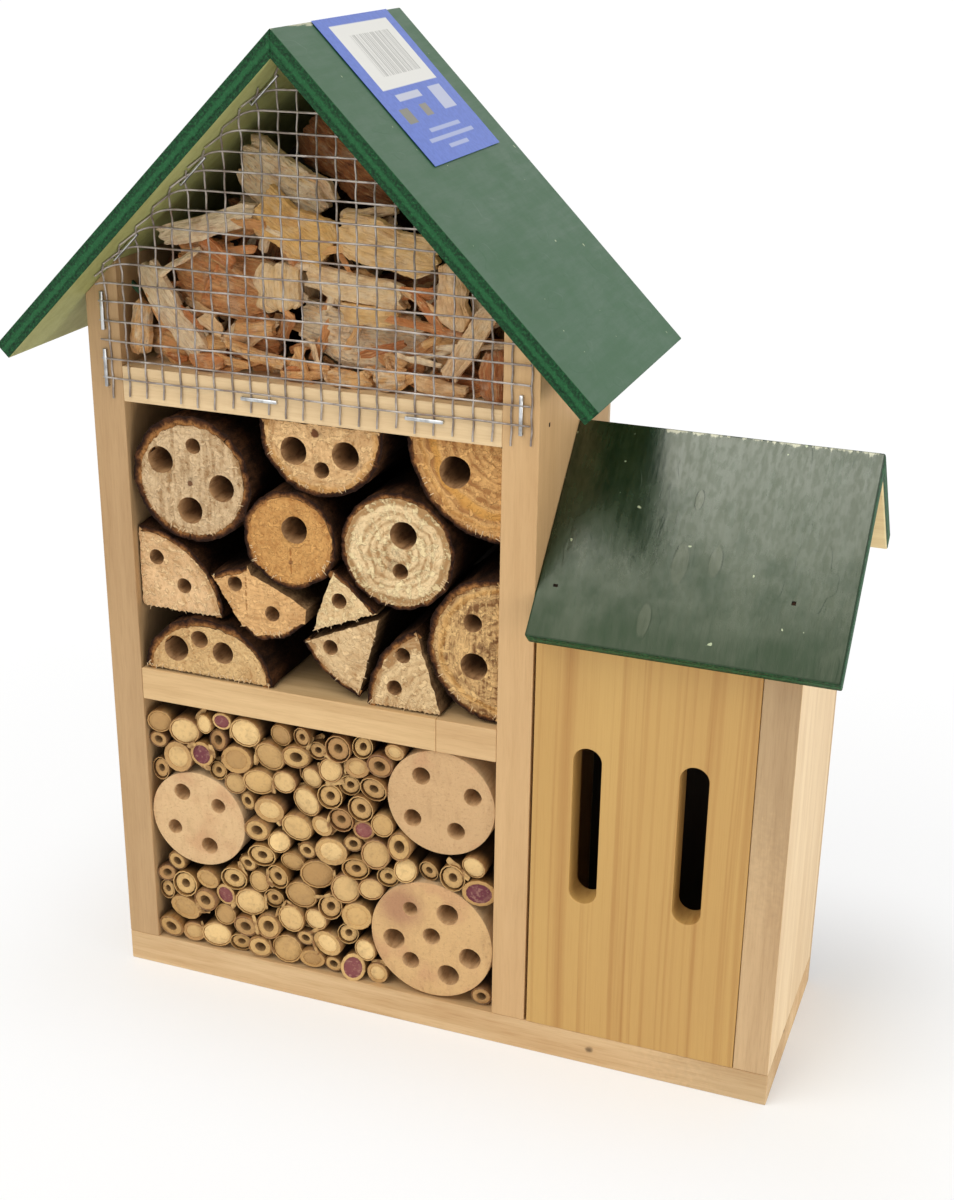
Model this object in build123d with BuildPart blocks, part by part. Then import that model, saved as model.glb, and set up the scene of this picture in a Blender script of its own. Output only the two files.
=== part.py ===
from build123d import *
import os
from math import cos, floor, hypot, pi, radians, sin, sqrt, tan

# Insect hotel: a small wooden house with a gable roof and a lean-on butterfly bay.
# Three bays lie one above the other in the main body: cut canes and drilled discs below,
# drilled logs in the middle, bark and chips behind wire mesh under the roof.
# The origin is the centre of the base board's underside. +X is to the right as seen from the
# front, +Y goes to the back, +Z is up. All lengths are in millimetres.

os.makedirs("parts", exist_ok=True)

# Carcass boards
board = 12.0
depth = 76.0
main_bay_width = 133.0
side_bay_width = 74.5
lower_bay_height = 99.0
middle_bay_height = 97.0
gable_post_height = 23.0
small_eave_drop = 67.0
shelf_end_length = 21.5
back_sheet = 3.0
hanging_hole_diameter = 8.0
hanging_hole_drop = 31.5

# Main roof
main_pitch = 45.0
main_sheet = 6.0
main_slope_length = 144.5
front_overhang = 17.5

# Small roof over the butterfly bay
small_pitch = 47.0
small_sheet = 6.0
small_ridge_setback = 42.5
small_slope_length = 77.0
small_end_overhang = 12.5

# Front panel of the butterfly bay and its two slots
panel_thickness = 10.0
panel_left_gap = 0.9
panel_right_gap = 0.2
slot_width = 9.6
slot_height = 58.0
slot_spacing = 35.6
slot_rise = 81.0

# Wire mesh and the strips bent forward under the roof
mesh_pitch = 6.35
mesh_wire = 0.7
mesh_left_lap = 3.6
mesh_right_lap = 10.6
mesh_stub = 3.2
mesh_shelf_lap = 4.0
mesh_tail = 6.8
mesh_roof_gap = 0.3
mesh_strip = 9.0
mesh_strip_wire_share = 0.7

# Staples
staple_crown = 12.8
staple_width = 1.2
staple_wire = 0.6
staple_leg = 5.0

# Brads, square in section
brad_side = 1.4
roof_brad_length = 16.5
panel_brad_length = 15.5
carcass_brad_length = 25.0
brad_edge_setback = 10.0
roof_brad_inset = 3.0
panel_brad_inset = 2.6

# Paper label on the right roof sheet
label_width = 57.0
label_length = 57.0
label_sheet = 0.3
label_setback = 27.0

# What fills the bays
content_gap = 0.3
log_recess = 2.0
log_sides = 24
disc_left_diameter = 37.5
disc_upper_diameter = 39.4
disc_lower_diameter = 46.0
disc_recess = 1.2
disc_left_rise_share = 0.54
disc_lower_lift = 0.81
disc_sides = 36
drill_depth = 42.0
drill_sides = 16
drill_large = 9.4
drill_wide = 10.6
drill_medium = 8.0
drill_small = 6.4
drill_fine = 5.5
cane_diameters = (9.6, 8.3, 10.9, 7.6, 9.1, 11.6, 8.7, 6.8)
cane_recesses = (0.8, 2.6, 1.6, 3.8)
cane_bore_share = 0.36
cane_sides = 8
cane_bore_sides = 6
purple_every = 17
chip_layers = (5.6, 7.4, 12.0, 22.0)
chip_recess = 2.0

# Levels and faces that follow from the sizes above
left_outer = -(3 * board + main_bay_width + side_bay_width) / 2
left_inner = left_outer + board
centre_left = left_inner + main_bay_width
centre_right = centre_left + board
right_inner = centre_right + side_bay_width
right_outer = right_inner + board
front = -depth / 2
back = depth / 2
rear = back + back_sheet
base_top = board
lower_shelf_under = base_top + lower_bay_height
lower_shelf_top = lower_shelf_under + board
upper_shelf_under = lower_shelf_top + middle_bay_height
upper_shelf_top = upper_shelf_under + board
ridge_x = (left_outer + centre_right) / 2
eave_level = upper_shelf_top + gable_post_height
ridge_under = eave_level + (centre_right - ridge_x) * tan(radians(main_pitch))
ridge_top = ridge_under + main_sheet / cos(radians(main_pitch))
small_eave_level = upper_shelf_top - small_eave_drop
small_ridge_y = front + small_ridge_setback
small_ridge_under = small_eave_level + small_ridge_setback * tan(radians(small_pitch))
small_ridge_top = small_ridge_under + small_sheet / cos(radians(small_pitch))
main_roof_front = front - front_overhang
small_roof_end = right_outer + small_end_overhang


def main_under(x):
    """Height of the main roof's underside at x."""
    return ridge_under - abs(x - ridge_x) * tan(radians(main_pitch))


def small_under(y):
    """Height of the small roof's underside at y."""
    return small_ridge_under - abs(y - small_ridge_y) * tan(radians(small_pitch))


def facing(y):
    """Sketch plane that looks to the front at y, with X to the right and Z up."""
    return Plane.XZ.offset(-y)


def side_plane(x):
    """Sketch plane at x, with Y to the right and Z up."""
    return Plane.YZ.offset(x)


def save(piece, name):
    """Label a finished piece and write it."""
    piece.part.label = name
    export_step(piece.part, f"parts/{name}.step")


def slope_plane(point, along, outward):
    """Plane at a point of a sheet, with its X along the slope and its Z out of the sheet."""
    return Plane(origin=point, x_dir=along, z_dir=outward)


# Directions on the roof slopes
main_rise = (cos(radians(main_pitch)), sin(radians(main_pitch)))
small_rise = (cos(radians(small_pitch)), sin(radians(small_pitch)))


def main_slope_plane(x, y, side, sheet_depth):
    """Plane on the main roof at x, y: side -1 is the left sheet, sheet_depth goes into the sheet."""
    z = main_under(x) + (main_sheet - sheet_depth) / main_rise[0]
    outward = (side * main_rise[1], 0, main_rise[0])
    along = (main_rise[0], 0, -side * main_rise[1])
    return slope_plane((x, y, z), along, outward)


def small_slope_plane(x, y, side):
    """Plane on the small roof's top at x, y: side -1 is the front sheet."""
    z = small_under(y) + small_sheet / small_rise[0]
    return slope_plane((x, y, z), (1, 0, 0), (0, side * small_rise[1], small_rise[0]))


def pins(planes, length):
    """Square pins that go into the wood from each plane."""
    with Locations(*[plane.location for plane in planes]):
        Box(brad_side, brad_side, length, align=(Align.CENTER, Align.CENTER, Align.MAX))


def staple(plane):
    """One staple: its crown lies on the plane along X, and its legs go below it."""
    with BuildSketch(Plane(origin=plane.origin, x_dir=plane.x_dir, z_dir=plane.y_dir)) as bent:
        with Locations((0, -staple_wire / 2)):
            Rectangle(staple_crown, staple_wire)
        leg_centre = (staple_crown - staple_wire) / 2
        with Locations((-leg_centre, staple_leg / 2), (leg_centre, staple_leg / 2)):
            Rectangle(staple_wire, staple_leg)
    extrude(bent.sketch, amount=staple_width / 2, both=True)


# Brads through the roofs into the boards below them
brad_row = (front + brad_edge_setback, back - brad_edge_setback)
roof_brad_planes = [main_slope_plane(left_outer + roof_brad_inset, y, -1, 0) for y in brad_row]
roof_brad_planes += [main_slope_plane(centre_right - roof_brad_inset, y, 1, 0) for y in brad_row]
panel_brad_place = small_slope_plane(centre_right + board / 2, front + panel_brad_inset, -1).origin
roof_brad_planes += [Plane(origin=panel_brad_place, z_dir=(0, 0, 1))]
right_brad_x = right_outer - board / 2
roof_brad_planes += [small_slope_plane(right_brad_x, front + board / 2, -1)]
ridge_brad_setback = 1.5 * board
for side in (-1, 1):
    roof_brad_planes += [small_slope_plane(right_brad_x, small_ridge_y + side * ridge_brad_setback, side)]
with BuildPart() as roof_brads:
    pins(roof_brad_planes, roof_brad_length)
save(roof_brads, "roof_brads")

# Brads through the back panels into the boards
back_brad_heights = (carcass_brad_length + board, (base_top + eave_level) / 2, eave_level - board)
side_brad_heights = (carcass_brad_length + board, (base_top + small_eave_level) / 2)
back_brad_points = [(left_outer + board / 2, z) for z in back_brad_heights]
back_brad_points += [(centre_right - board / 2, z) for z in back_brad_heights]
back_brad_points += [(right_outer - board / 2, z) for z in side_brad_heights]
back_brad_points += [(ridge_x, upper_shelf_under + board / 2), (ridge_x, board / 2)]
back_brad_points += [((centre_right + right_inner) / 2, board / 2)]
with BuildPart() as back_brads:
    pins([Plane(origin=(x, rear, z), z_dir=(0, 1, 0)) for x, z in back_brad_points], panel_brad_length)
save(back_brads, "back_brads")

# Brads through the base board and the side boards into the ends of uprights and shelves
upright_centres = (left_outer + board / 2, centre_right - board / 2, right_outer - board / 2)
shelf_brad_levels = (lower_shelf_under + board / 2, upper_shelf_under + board / 2)
carcass_brad_planes = [
    Plane(origin=(x, y, 0), z_dir=(0, 0, -1)) for x in upright_centres for y in brad_row
]
carcass_brad_planes += [
    Plane(origin=(left_outer, y, z), z_dir=(-1, 0, 0)) for z in shelf_brad_levels for y in brad_row
]
carcass_brad_planes += [
    Plane(origin=(centre_right, y, z), z_dir=(1, 0, 0)) for z in shelf_brad_levels for y in brad_row
]
with BuildPart() as carcass_brads:
    pins(carcass_brad_planes, carcass_brad_length)
save(carcass_brads, "carcass_brads")

# Wire mesh: upright wires and cross wires in one flat net against the front edges
mesh_left = left_inner - mesh_left_lap
mesh_columns = floor((main_bay_width + mesh_left_lap + mesh_right_lap) / mesh_pitch) + 1
mesh_right = mesh_left + (mesh_columns - 1) * mesh_pitch
mesh_bottom = upper_shelf_top - mesh_shelf_lap
mesh_rows = floor((ridge_under - mesh_bottom) / mesh_pitch)
mesh_x = [mesh_left + i * mesh_pitch for i in range(mesh_columns)]
slope_trim = (mesh_wire + mesh_roof_gap) / main_rise[0] + mesh_wire / 2 * main_rise[1] / main_rise[0]
with BuildPart() as wire_mesh:
    with BuildSketch(facing(front)) as net:
        for x in mesh_x:
            top = main_under(x) - slope_trim
            low = mesh_bottom - mesh_tail
            with Locations((x, (top + low) / 2)):
                Rectangle(mesh_wire, top - low)
        for row in range(mesh_rows):
            z = mesh_bottom + row * mesh_pitch
            reach = (ridge_under - z - slope_trim) * main_rise[0] / main_rise[1]
            start = max(mesh_left - mesh_stub, ridge_x - reach)
            end = min(mesh_right + mesh_wire, ridge_x + reach)
            if end - start > mesh_pitch:
                with Locations(((start + end) / 2, z)):
                    Rectangle(end - start, mesh_wire)
    extrude(amount=mesh_wire)
save(wire_mesh, "wire_mesh")

# Strips of the same mesh bent forward along the roof's underside
strip_y = front - mesh_wire - mesh_strip / 2
mesh_strip_wire = mesh_wire * mesh_strip_wire_share
with BuildPart() as mesh_strips:
    for side in (-1, 1):
        columns = [x for x in mesh_x if (x - ridge_x) * side > mesh_pitch]
        middle = (columns[0] + columns[-1]) / 2
        with BuildSketch(main_slope_plane(middle, strip_y, side, main_sheet)):
            Rectangle((columns[-1] - columns[0]) / main_rise[0], mesh_strip_wire)
            with Locations(*[((x - middle) / main_rise[0], 0) for x in columns]):
                Rectangle(mesh_strip_wire, mesh_strip)
        extrude(amount=-mesh_wire)
save(mesh_strips, "mesh_strips")

# Staples: two on the shelf, two on the left board, one on the centre board, three under each sheet
staple_face = front - mesh_wire
shelf_staple_level = mesh_bottom - staple_width - mesh_wire
cell = mesh_pitch / 2
shelf_staple_columns = (8, 17)
left_staple_rows = (0, 3)
roof_staple_columns = (1, 5, 9, 13, 17, 21)
with BuildPart() as front_staples:
    for column in shelf_staple_columns:
        place = (mesh_x[column] + cell, staple_face, shelf_staple_level)
        staple(Plane(origin=place, x_dir=(1, 0, 0), z_dir=(0, -1, 0)))
    for row in left_staple_rows:
        place = (mesh_left - mesh_wire - staple_width, staple_face, mesh_bottom + row * mesh_pitch + cell)
        staple(Plane(origin=place, x_dir=(0, 0, 1), z_dir=(0, -1, 0)))
    place = (mesh_right - cell, staple_face, mesh_bottom + cell)
    staple(Plane(origin=place, x_dir=(0, 0, 1), z_dir=(0, -1, 0)))
save(front_staples, "front_staples")

with BuildPart() as roof_staples:
    for column in roof_staple_columns:
        x = mesh_x[column] + cell
        side = 1 if x > ridge_x else -1
        sheet = main_slope_plane(x, front - mesh_wire - mesh_strip / 3, side, main_sheet)
        face = sheet.offset(-mesh_wire)
        staple(Plane(origin=face.origin, x_dir=face.x_dir, z_dir=-face.z_dir))
save(roof_staples, "roof_staples")

# Base board
with BuildPart() as base_board:
    with BuildSketch() as outline:
        Rectangle(right_outer - left_outer, depth)
    extrude(amount=board)
    add(carcass_brads.part, mode=Mode.SUBTRACT)
    add(back_brads.part, mode=Mode.SUBTRACT)
save(base_board, "base_board")


def upright(inner, outer, piece_name):
    """A side board of the main body, with its top cut to the roof's slope."""
    with BuildPart() as piece:
        with BuildSketch(facing(back)) as outline:
            with BuildLine() as edge:
                Polyline(
                    (outer, base_top), (outer, main_under(outer)),
                    (inner, main_under(inner)), (inner, base_top), close=True,
                )
            make_face()
        extrude(amount=depth)
        for fastening in (carcass_brads, back_brads, roof_brads, front_staples):
            add(fastening.part, mode=Mode.SUBTRACT)
    save(piece, piece_name)
    return piece


left_board = upright(left_inner, left_outer, "left_board")
centre_board = upright(centre_left, centre_right, "centre_board")

# Right board of the butterfly bay, with a gable top under the small roof
with BuildPart() as right_board:
    with BuildSketch(side_plane(right_inner)) as outline:
        with BuildLine() as edge:
            Polyline(
                (front, base_top), (back, base_top), (back, small_under(back)),
                (small_ridge_y, small_ridge_under), (front, small_under(front)), close=True,
            )
        make_face()
    extrude(amount=board)
    for fastening in (carcass_brads, back_brads, roof_brads):
        add(fastening.part, mode=Mode.SUBTRACT)
save(right_board, "right_board")

# Shelves; the lower one is a long piece and a short end piece
shelf_joint_x = centre_left - shelf_end_length


def shelf(start, end, level, piece_name):
    """A shelf board from start to end, its underside at level."""
    with BuildPart() as piece:
        with BuildSketch(Plane.XY.offset(level)) as outline:
            with Locations(((start + end) / 2, 0)):
                Rectangle(end - start, depth)
        extrude(amount=board)
        for fastening in (carcass_brads, back_brads, front_staples):
            add(fastening.part, mode=Mode.SUBTRACT)
    save(piece, piece_name)
    return piece


upper_shelf = shelf(left_inner, centre_left, upper_shelf_under, "upper_shelf")
lower_shelf = shelf(left_inner, shelf_joint_x, lower_shelf_under, "lower_shelf")
lower_shelf_end = shelf(shelf_joint_x, centre_left, lower_shelf_under, "lower_shelf_end")

# Back panel of the main body, with the hole that hangs the house on a screw
with BuildPart() as main_back_panel:
    with BuildSketch(facing(rear)) as outline:
        with BuildLine() as edge:
            Polyline(
                (left_outer, 0), (left_outer, main_under(left_outer)), (ridge_x, ridge_under),
                (centre_right, main_under(centre_right)), (centre_right, 0), close=True,
            )
        make_face()
        with Locations((ridge_x, ridge_under - hanging_hole_drop)):
            Circle(hanging_hole_diameter / 2, mode=Mode.SUBTRACT)
    extrude(amount=back_sheet)
    add(back_brads.part, mode=Mode.SUBTRACT)
save(main_back_panel, "main_back_panel")

# Back panel of the butterfly bay, its top edge under the small roof's back sheet
with BuildPart() as side_back_panel:
    with BuildSketch(side_plane(centre_right)) as outline:
        with BuildLine() as edge:
            Polyline((back, 0), (rear, 0), (rear, small_under(rear)), (back, small_under(back)), close=True)
        make_face()
    extrude(amount=right_outer - centre_right)
    add(back_brads.part, mode=Mode.SUBTRACT)
save(side_back_panel, "side_back_panel")

# Front panel of the butterfly bay with its two slots
with BuildPart() as front_panel:
    with BuildSketch(side_plane(centre_right + panel_left_gap)) as outline:
        with BuildLine() as edge:
            inside = front + panel_thickness
            Polyline(
                (front, base_top), (inside, base_top), (inside, small_under(inside)),
                (front, small_under(front)), close=True,
            )
        make_face()
    extrude(amount=side_bay_width - panel_left_gap - panel_right_gap)
    with BuildSketch(facing(front + panel_thickness)) as slots:
        with Locations(((centre_right + right_inner) / 2, base_top + slot_rise)):
            with GridLocations(slot_spacing, slot_height, 2, 1):
                SlotOverall(slot_height, slot_width, rotation=90)
    extrude(amount=panel_thickness, mode=Mode.SUBTRACT)
    add(roof_brads.part, mode=Mode.SUBTRACT)
save(front_panel, "front_panel")


def main_roof_sheet(side, piece_name):
    """One sheet of the main roof, mitred at the ridge."""
    run, rise = main_rise
    eave = (ridge_x + side * main_slope_length * run, ridge_top - main_slope_length * rise)
    under_eave = (eave[0] - side * main_sheet * rise, eave[1] - main_sheet * run)
    with BuildPart() as piece:
        with BuildSketch(facing(rear)) as outline:
            with BuildLine() as edge:
                Polyline((ridge_x, ridge_top), eave, under_eave, (ridge_x, ridge_under), close=True)
            make_face()
        extrude(amount=rear - main_roof_front)
        for fastening in (roof_brads, roof_staples):
            add(fastening.part, mode=Mode.SUBTRACT)
    save(piece, piece_name)
    return piece


main_roof_left = main_roof_sheet(-1, "main_roof_left")
main_roof_right = main_roof_sheet(1, "main_roof_right")


def small_roof_sheet(side, slope_length, piece_name):
    """One sheet of the small roof, mitred at the ridge: side -1 is the front."""
    run, rise = small_rise
    eave = (small_ridge_y + side * slope_length * run, small_ridge_top - slope_length * rise)
    under_eave = (eave[0] - side * small_sheet * rise, eave[1] - small_sheet * run)
    with BuildPart() as piece:
        with BuildSketch(side_plane(centre_right)) as outline:
            with BuildLine() as edge:
                Polyline(
                    (small_ridge_y, small_ridge_top), eave, under_eave,
                    (small_ridge_y, small_ridge_under), close=True,
                )
            make_face()
        extrude(amount=small_roof_end - centre_right)
        add(roof_brads.part, mode=Mode.SUBTRACT)
    save(piece, piece_name)
    return piece


small_back_length = (rear - small_ridge_y) / small_rise[0]
small_roof_front = small_roof_sheet(-1, small_slope_length, "small_roof_front")
small_roof_back = small_roof_sheet(1, small_back_length, "small_roof_back")

# Label: a sheet of paper that starts at the ridge of the right roof sheet
with BuildPart() as roof_label:
    label_x = ridge_x + label_length / 2 * main_rise[0]
    with BuildSketch(main_slope_plane(label_x, main_roof_front + label_setback + label_width / 2, 1, 0)):
        Rectangle(label_length, label_width)
    extrude(amount=label_sheet)
save(roof_label, "roof_label")

# Logs in the middle bay. Each row: name, centre as shares of the bay's width and height, the two
# radii as shares, the arc's start and end in degrees, the corners that close a split log as
# shares, and the drilled holes as (share across, share up, diameter).
log_shares = (
    ("log_round_left", (0.174, 0.745), (0.166, 0.229), (0, 360), (),
     ((0.089, 0.803, drill_large), (0.184, 0.867, drill_fine), (0.259, 0.727, drill_large),
      (0.167, 0.632, drill_large))),
    ("log_half_top", (0.53, 0.965), (0.166, 0.226), (172, 368), (),
     ((0.457, 0.893, drill_large), (0.598, 0.897, drill_large), (0.531, 0.837, drill_fine))),
    ("log_quarter_top", (0.997, 0.996), (0.246, 0.34), (180, 270), ((0.997, 0.996),),
     ((0.875, 0.887, drill_wide),)),
    ("log_round_small", (0.442, 0.574), (0.129, 0.177), (0, 360), (),
     ((0.457, 0.615, drill_large),)),
    ("log_round_middle", (0.729, 0.583), (0.153, 0.21), (0, 360), (),
     ((0.746, 0.646, drill_large), (0.738, 0.517, drill_fine))),
    ("log_quarter_left", (0.003, 0.232), (0.238, 0.312), (0, 90), ((0.003, 0.232),),
     ((0.053, 0.43, drill_fine), (0.13, 0.335, drill_fine))),
    ("log_slab", (0.0, 0.0), (0.0, 0.0), (0, 0),
     ((0.214, 0.408), (0.322, 0.46), (0.335, 0.43), (0.42, 0.378), (0.488, 0.33), (0.48, 0.262),
      (0.42, 0.2), (0.337, 0.178), (0.3, 0.22)),
     ((0.285, 0.385, drill_fine), (0.388, 0.292, drill_fine))),
    ("log_wedge", (0.0, 0.0), (0.0, 0.0), (0, 0),
     ((0.497, 0.243), (0.52, 0.36), (0.56, 0.488), (0.6, 0.448), (0.643, 0.394), (0.676, 0.346)),
     ((0.572, 0.374, drill_fine),)),
    ("log_quarter_low", (0.681, 0.33), (0.236, 0.324), (204, 255), ((0.681, 0.33),),
     ((0.542, 0.19, drill_fine),)),
    ("log_half_shelf", (0.196, 0.004), (0.187, 0.224), (0, 180), (),
     ((0.104, 0.097, drill_large), (0.175, 0.146, drill_small), (0.242, 0.108, drill_medium))),
    ("log_quarter_shelf", (0.85, 0.004), (0.208, 0.33), (110, 180), ((0.85, 0.004),),
     ((0.743, 0.209, drill_fine), (0.72, 0.082, drill_fine))),
    ("log_half_right", (0.997, 0.272), (0.193, 0.267), (90, 270), (),
     ((0.925, 0.366, drill_small), (0.93, 0.207, drill_large))),
)


def log_outline(centre_share, radius_share, arc, corner_shares):
    """Points of a log's end in the middle bay: an arc by formula, then the corners."""
    points = []
    steps = round(log_sides * (arc[1] - arc[0]) / 360)
    whole = arc[1] - arc[0] == 360
    for step in range(steps if whole or not steps else steps + 1):
        turn = radians(arc[0] + (arc[1] - arc[0]) * step / steps)
        points.append((centre_share[0] + radius_share[0] * cos(turn),
                       centre_share[1] + radius_share[1] * sin(turn)))
    return points + list(corner_shares)


def in_middle_bay(share):
    """Turn shares of the middle bay into a place."""
    return (left_inner + share[0] * main_bay_width, lower_shelf_top + share[1] * middle_bay_height)


log_back = back - content_gap
for order, (name, centre_share, radius_share, arc, corner_shares, holes) in enumerate(log_shares):
    log_front = front + log_recess * (1 + order % 3) / 2
    with BuildPart() as log:
        with BuildSketch(facing(log_back)) as end:
            with BuildLine() as bark:
                shares = log_outline(centre_share, radius_share, arc, corner_shares)
                Polyline(*[in_middle_bay(share) for share in shares], close=True)
            make_face()
        extrude(amount=log_back - log_front)
        with BuildSketch(facing(log_front)) as drilled:
            for across_share, up_share, diameter in holes:
                with Locations(in_middle_bay((across_share, up_share))):
                    RegularPolygon(diameter / 2, drill_sides)
        extrude(amount=-drill_depth, mode=Mode.SUBTRACT)
    save(log, name)

# Drilled discs in the lower bay: each row has the name, the centre, the diameter and the holes as
# (share across, share up, diameter), where the shares are of the disc's radius from its centre.
disc_left_radius = disc_left_diameter / 2
disc_upper_radius = disc_upper_diameter / 2
disc_lower_radius = disc_lower_diameter / 2
disc_upper_z = lower_shelf_under - content_gap - disc_upper_radius
disc_lower_x = centre_left - content_gap - disc_lower_radius
disc_lower_z = base_top + disc_lower_lift + disc_lower_radius


def disc_upper_place():
    """Place across of the upper disc: at the wall, or beside the lower one in a low bay."""
    at_wall = centre_left - content_gap - disc_upper_radius
    reach = disc_upper_radius + content_gap + disc_lower_radius
    rise = disc_upper_z - disc_lower_z
    if rise >= reach:
        return at_wall
    return min(at_wall, disc_lower_x - sqrt(reach**2 - rise**2))


discs = (
    ("disc_left", left_inner + content_gap + disc_left_radius,
     base_top + disc_left_rise_share * lower_bay_height, disc_left_radius,
     ((-0.33, 0.53, drill_small), (0.44, 0.37, drill_fine), (-0.53, -0.27, drill_fine),
      (0.21, -0.54, drill_small))),
    ("disc_upper", disc_upper_place(), disc_upper_z, disc_upper_radius,
     ((-0.37, 0.46, drill_small), (0.58, 0.23, drill_small), (-0.53, -0.39, drill_small),
      (0.28, -0.49, drill_small))),
    ("disc_lower", disc_lower_x, disc_lower_z, disc_lower_radius,
     ((-0.35, 0.47, drill_fine), (0.26, 0.51, drill_medium), (-0.62, -0.12, drill_medium),
      (0.0, 0.06, drill_small), (-0.34, -0.45, drill_small), (0.63, -0.19, drill_medium),
      (0.28, -0.57, drill_medium))),
)
for name, disc_x, disc_z, radius, holes in discs:
    with BuildPart() as disc:
        with BuildSketch(facing(back - content_gap)) as round_end:
            with Locations((disc_x, disc_z)):
                RegularPolygon(radius, disc_sides)
        extrude(amount=back - content_gap - front - disc_recess)
        with BuildSketch(facing(front + disc_recess)) as drilled:
            for across_share, up_share, diameter in holes:
                with Locations((disc_x + across_share * radius, disc_z + up_share * radius)):
                    RegularPolygon(diameter / 2, drill_sides)
        extrude(amount=-drill_depth, mode=Mode.SUBTRACT)
    save(disc, name)


def touching(first, second, radius):
    """The two places where a circle of this radius touches two circles, or none."""
    near = first[2] + radius + content_gap
    far = second[2] + radius + content_gap
    gap_x, gap_z = second[0] - first[0], second[1] - first[1]
    span = hypot(gap_x, gap_z)
    if span > near + far or span < abs(near - far):
        return []
    along = (near**2 - far**2 + span**2) / (2 * span)
    aside = sqrt(max(near**2 - along**2, 0))
    foot_x, foot_z = first[0] + gap_x * along / span, first[1] + gap_z * along / span
    step_x, step_z = -gap_z / span * aside, gap_x / span * aside
    return [(foot_x + step_x, foot_z + step_z), (foot_x - step_x, foot_z - step_z)]


def resting_places(placed, radius):
    """Every place where a cane rests on two neighbours, a wall or the base, the lowest first."""
    reach = radius + content_gap
    low_x, high_x = left_inner + reach, centre_left - reach
    low_z, high_z = base_top + reach, lower_shelf_under - reach
    places = [(low_x, low_z), (high_x, low_z)]
    for index, circle in enumerate(placed):
        centre_x, centre_z, circle_radius = circle
        span = circle_radius + reach
        for wall_x in (low_x, high_x):
            if abs(wall_x - centre_x) < span:
                drop = sqrt(span**2 - (wall_x - centre_x) ** 2)
                places += [(wall_x, centre_z - drop), (wall_x, centre_z + drop)]
        if abs(low_z - centre_z) < span:
            aside = sqrt(span**2 - (low_z - centre_z) ** 2)
            places += [(centre_x - aside, low_z), (centre_x + aside, low_z)]
        for other in placed[:index]:
            if abs(other[0] - centre_x) < span + other[2] + reach:
                places += touching(circle, other, radius)
    slack = content_gap / 1000
    inside = [
        (x, z) for x, z in places
        if low_x - slack <= x <= high_x + slack and low_z - slack <= z <= high_z + slack
    ]
    return sorted(inside, key=lambda place: (place[1], place[0]))


def first_free(placed, radius):
    """The lowest resting place that nothing fills, or None."""
    slack = content_gap / 1000
    for x, z in resting_places(placed, radius):
        if all(hypot(x - c[0], z - c[1]) >= c[2] + radius + content_gap - slack for c in placed):
            return (x, z, radius)
    return None


# Canes fill the rest of the lower bay, dropped in one by one to the lowest free place
placed = [(disc_x, disc_z, radius) for name, disc_x, disc_z, radius, holes in discs]
disc_count = len(placed)
open_diameters = list(cane_diameters)
turn_to_place = 0
while open_diameters:
    diameter = open_diameters[turn_to_place % len(open_diameters)]
    cane = first_free(placed, diameter / 2)
    if cane is None:
        open_diameters.remove(diameter)
    else:
        placed.append(cane)
        turn_to_place += 1
canes = placed[disc_count:]


def cane_kind(index):
    """Hollow, filled with pith, or filled with purple pith."""
    if index % purple_every == purple_every // 2:
        return "purple_canes"
    return ("hollow_canes", "pith_canes")[(index * 3 // 2) % 2]


for kind in ("hollow_canes", "pith_canes", "purple_canes"):
    with BuildPart() as bundle:
        for recess_order, recess in enumerate(cane_recesses):
            chosen = [
                cane for index, cane in enumerate(canes)
                if cane_kind(index) == kind and index % len(cane_recesses) == recess_order
            ]
            if chosen:
                with BuildSketch(facing(back - content_gap)) as ends:
                    for x, z, radius in chosen:
                        bore_radius = radius * cane_bore_share
                        with Locations((x, z)):
                            RegularPolygon(radius, cane_sides)
                            if kind == "hollow_canes":
                                RegularPolygon(bore_radius, cane_bore_sides, mode=Mode.SUBTRACT)
                extrude(amount=back - content_gap - front - recess)
    save(bundle, kind)

# Bark, slabs and chips in the top bay. Outlines are in shares of a chip's length and width.
slab_share = ((-0.5, -0.3), (-0.36, -0.5), (0.34, -0.42), (0.5, -0.1), (0.42, 0.45), (-0.3, 0.5))
splinter_share = ((-0.5, -0.1), (-0.1, -0.5), (0.5, -0.1), (0.3, 0.4), (-0.35, 0.5))
wedge_share = ((-0.5, -0.5), (0.45, -0.4), (0.5, -0.05), (0.1, 0.5), (-0.42, 0.35))
plate_share = tuple((0.5 * cos(k * pi / 5), 0.5 * sin(k * pi / 5)) for k in range(10))

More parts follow.
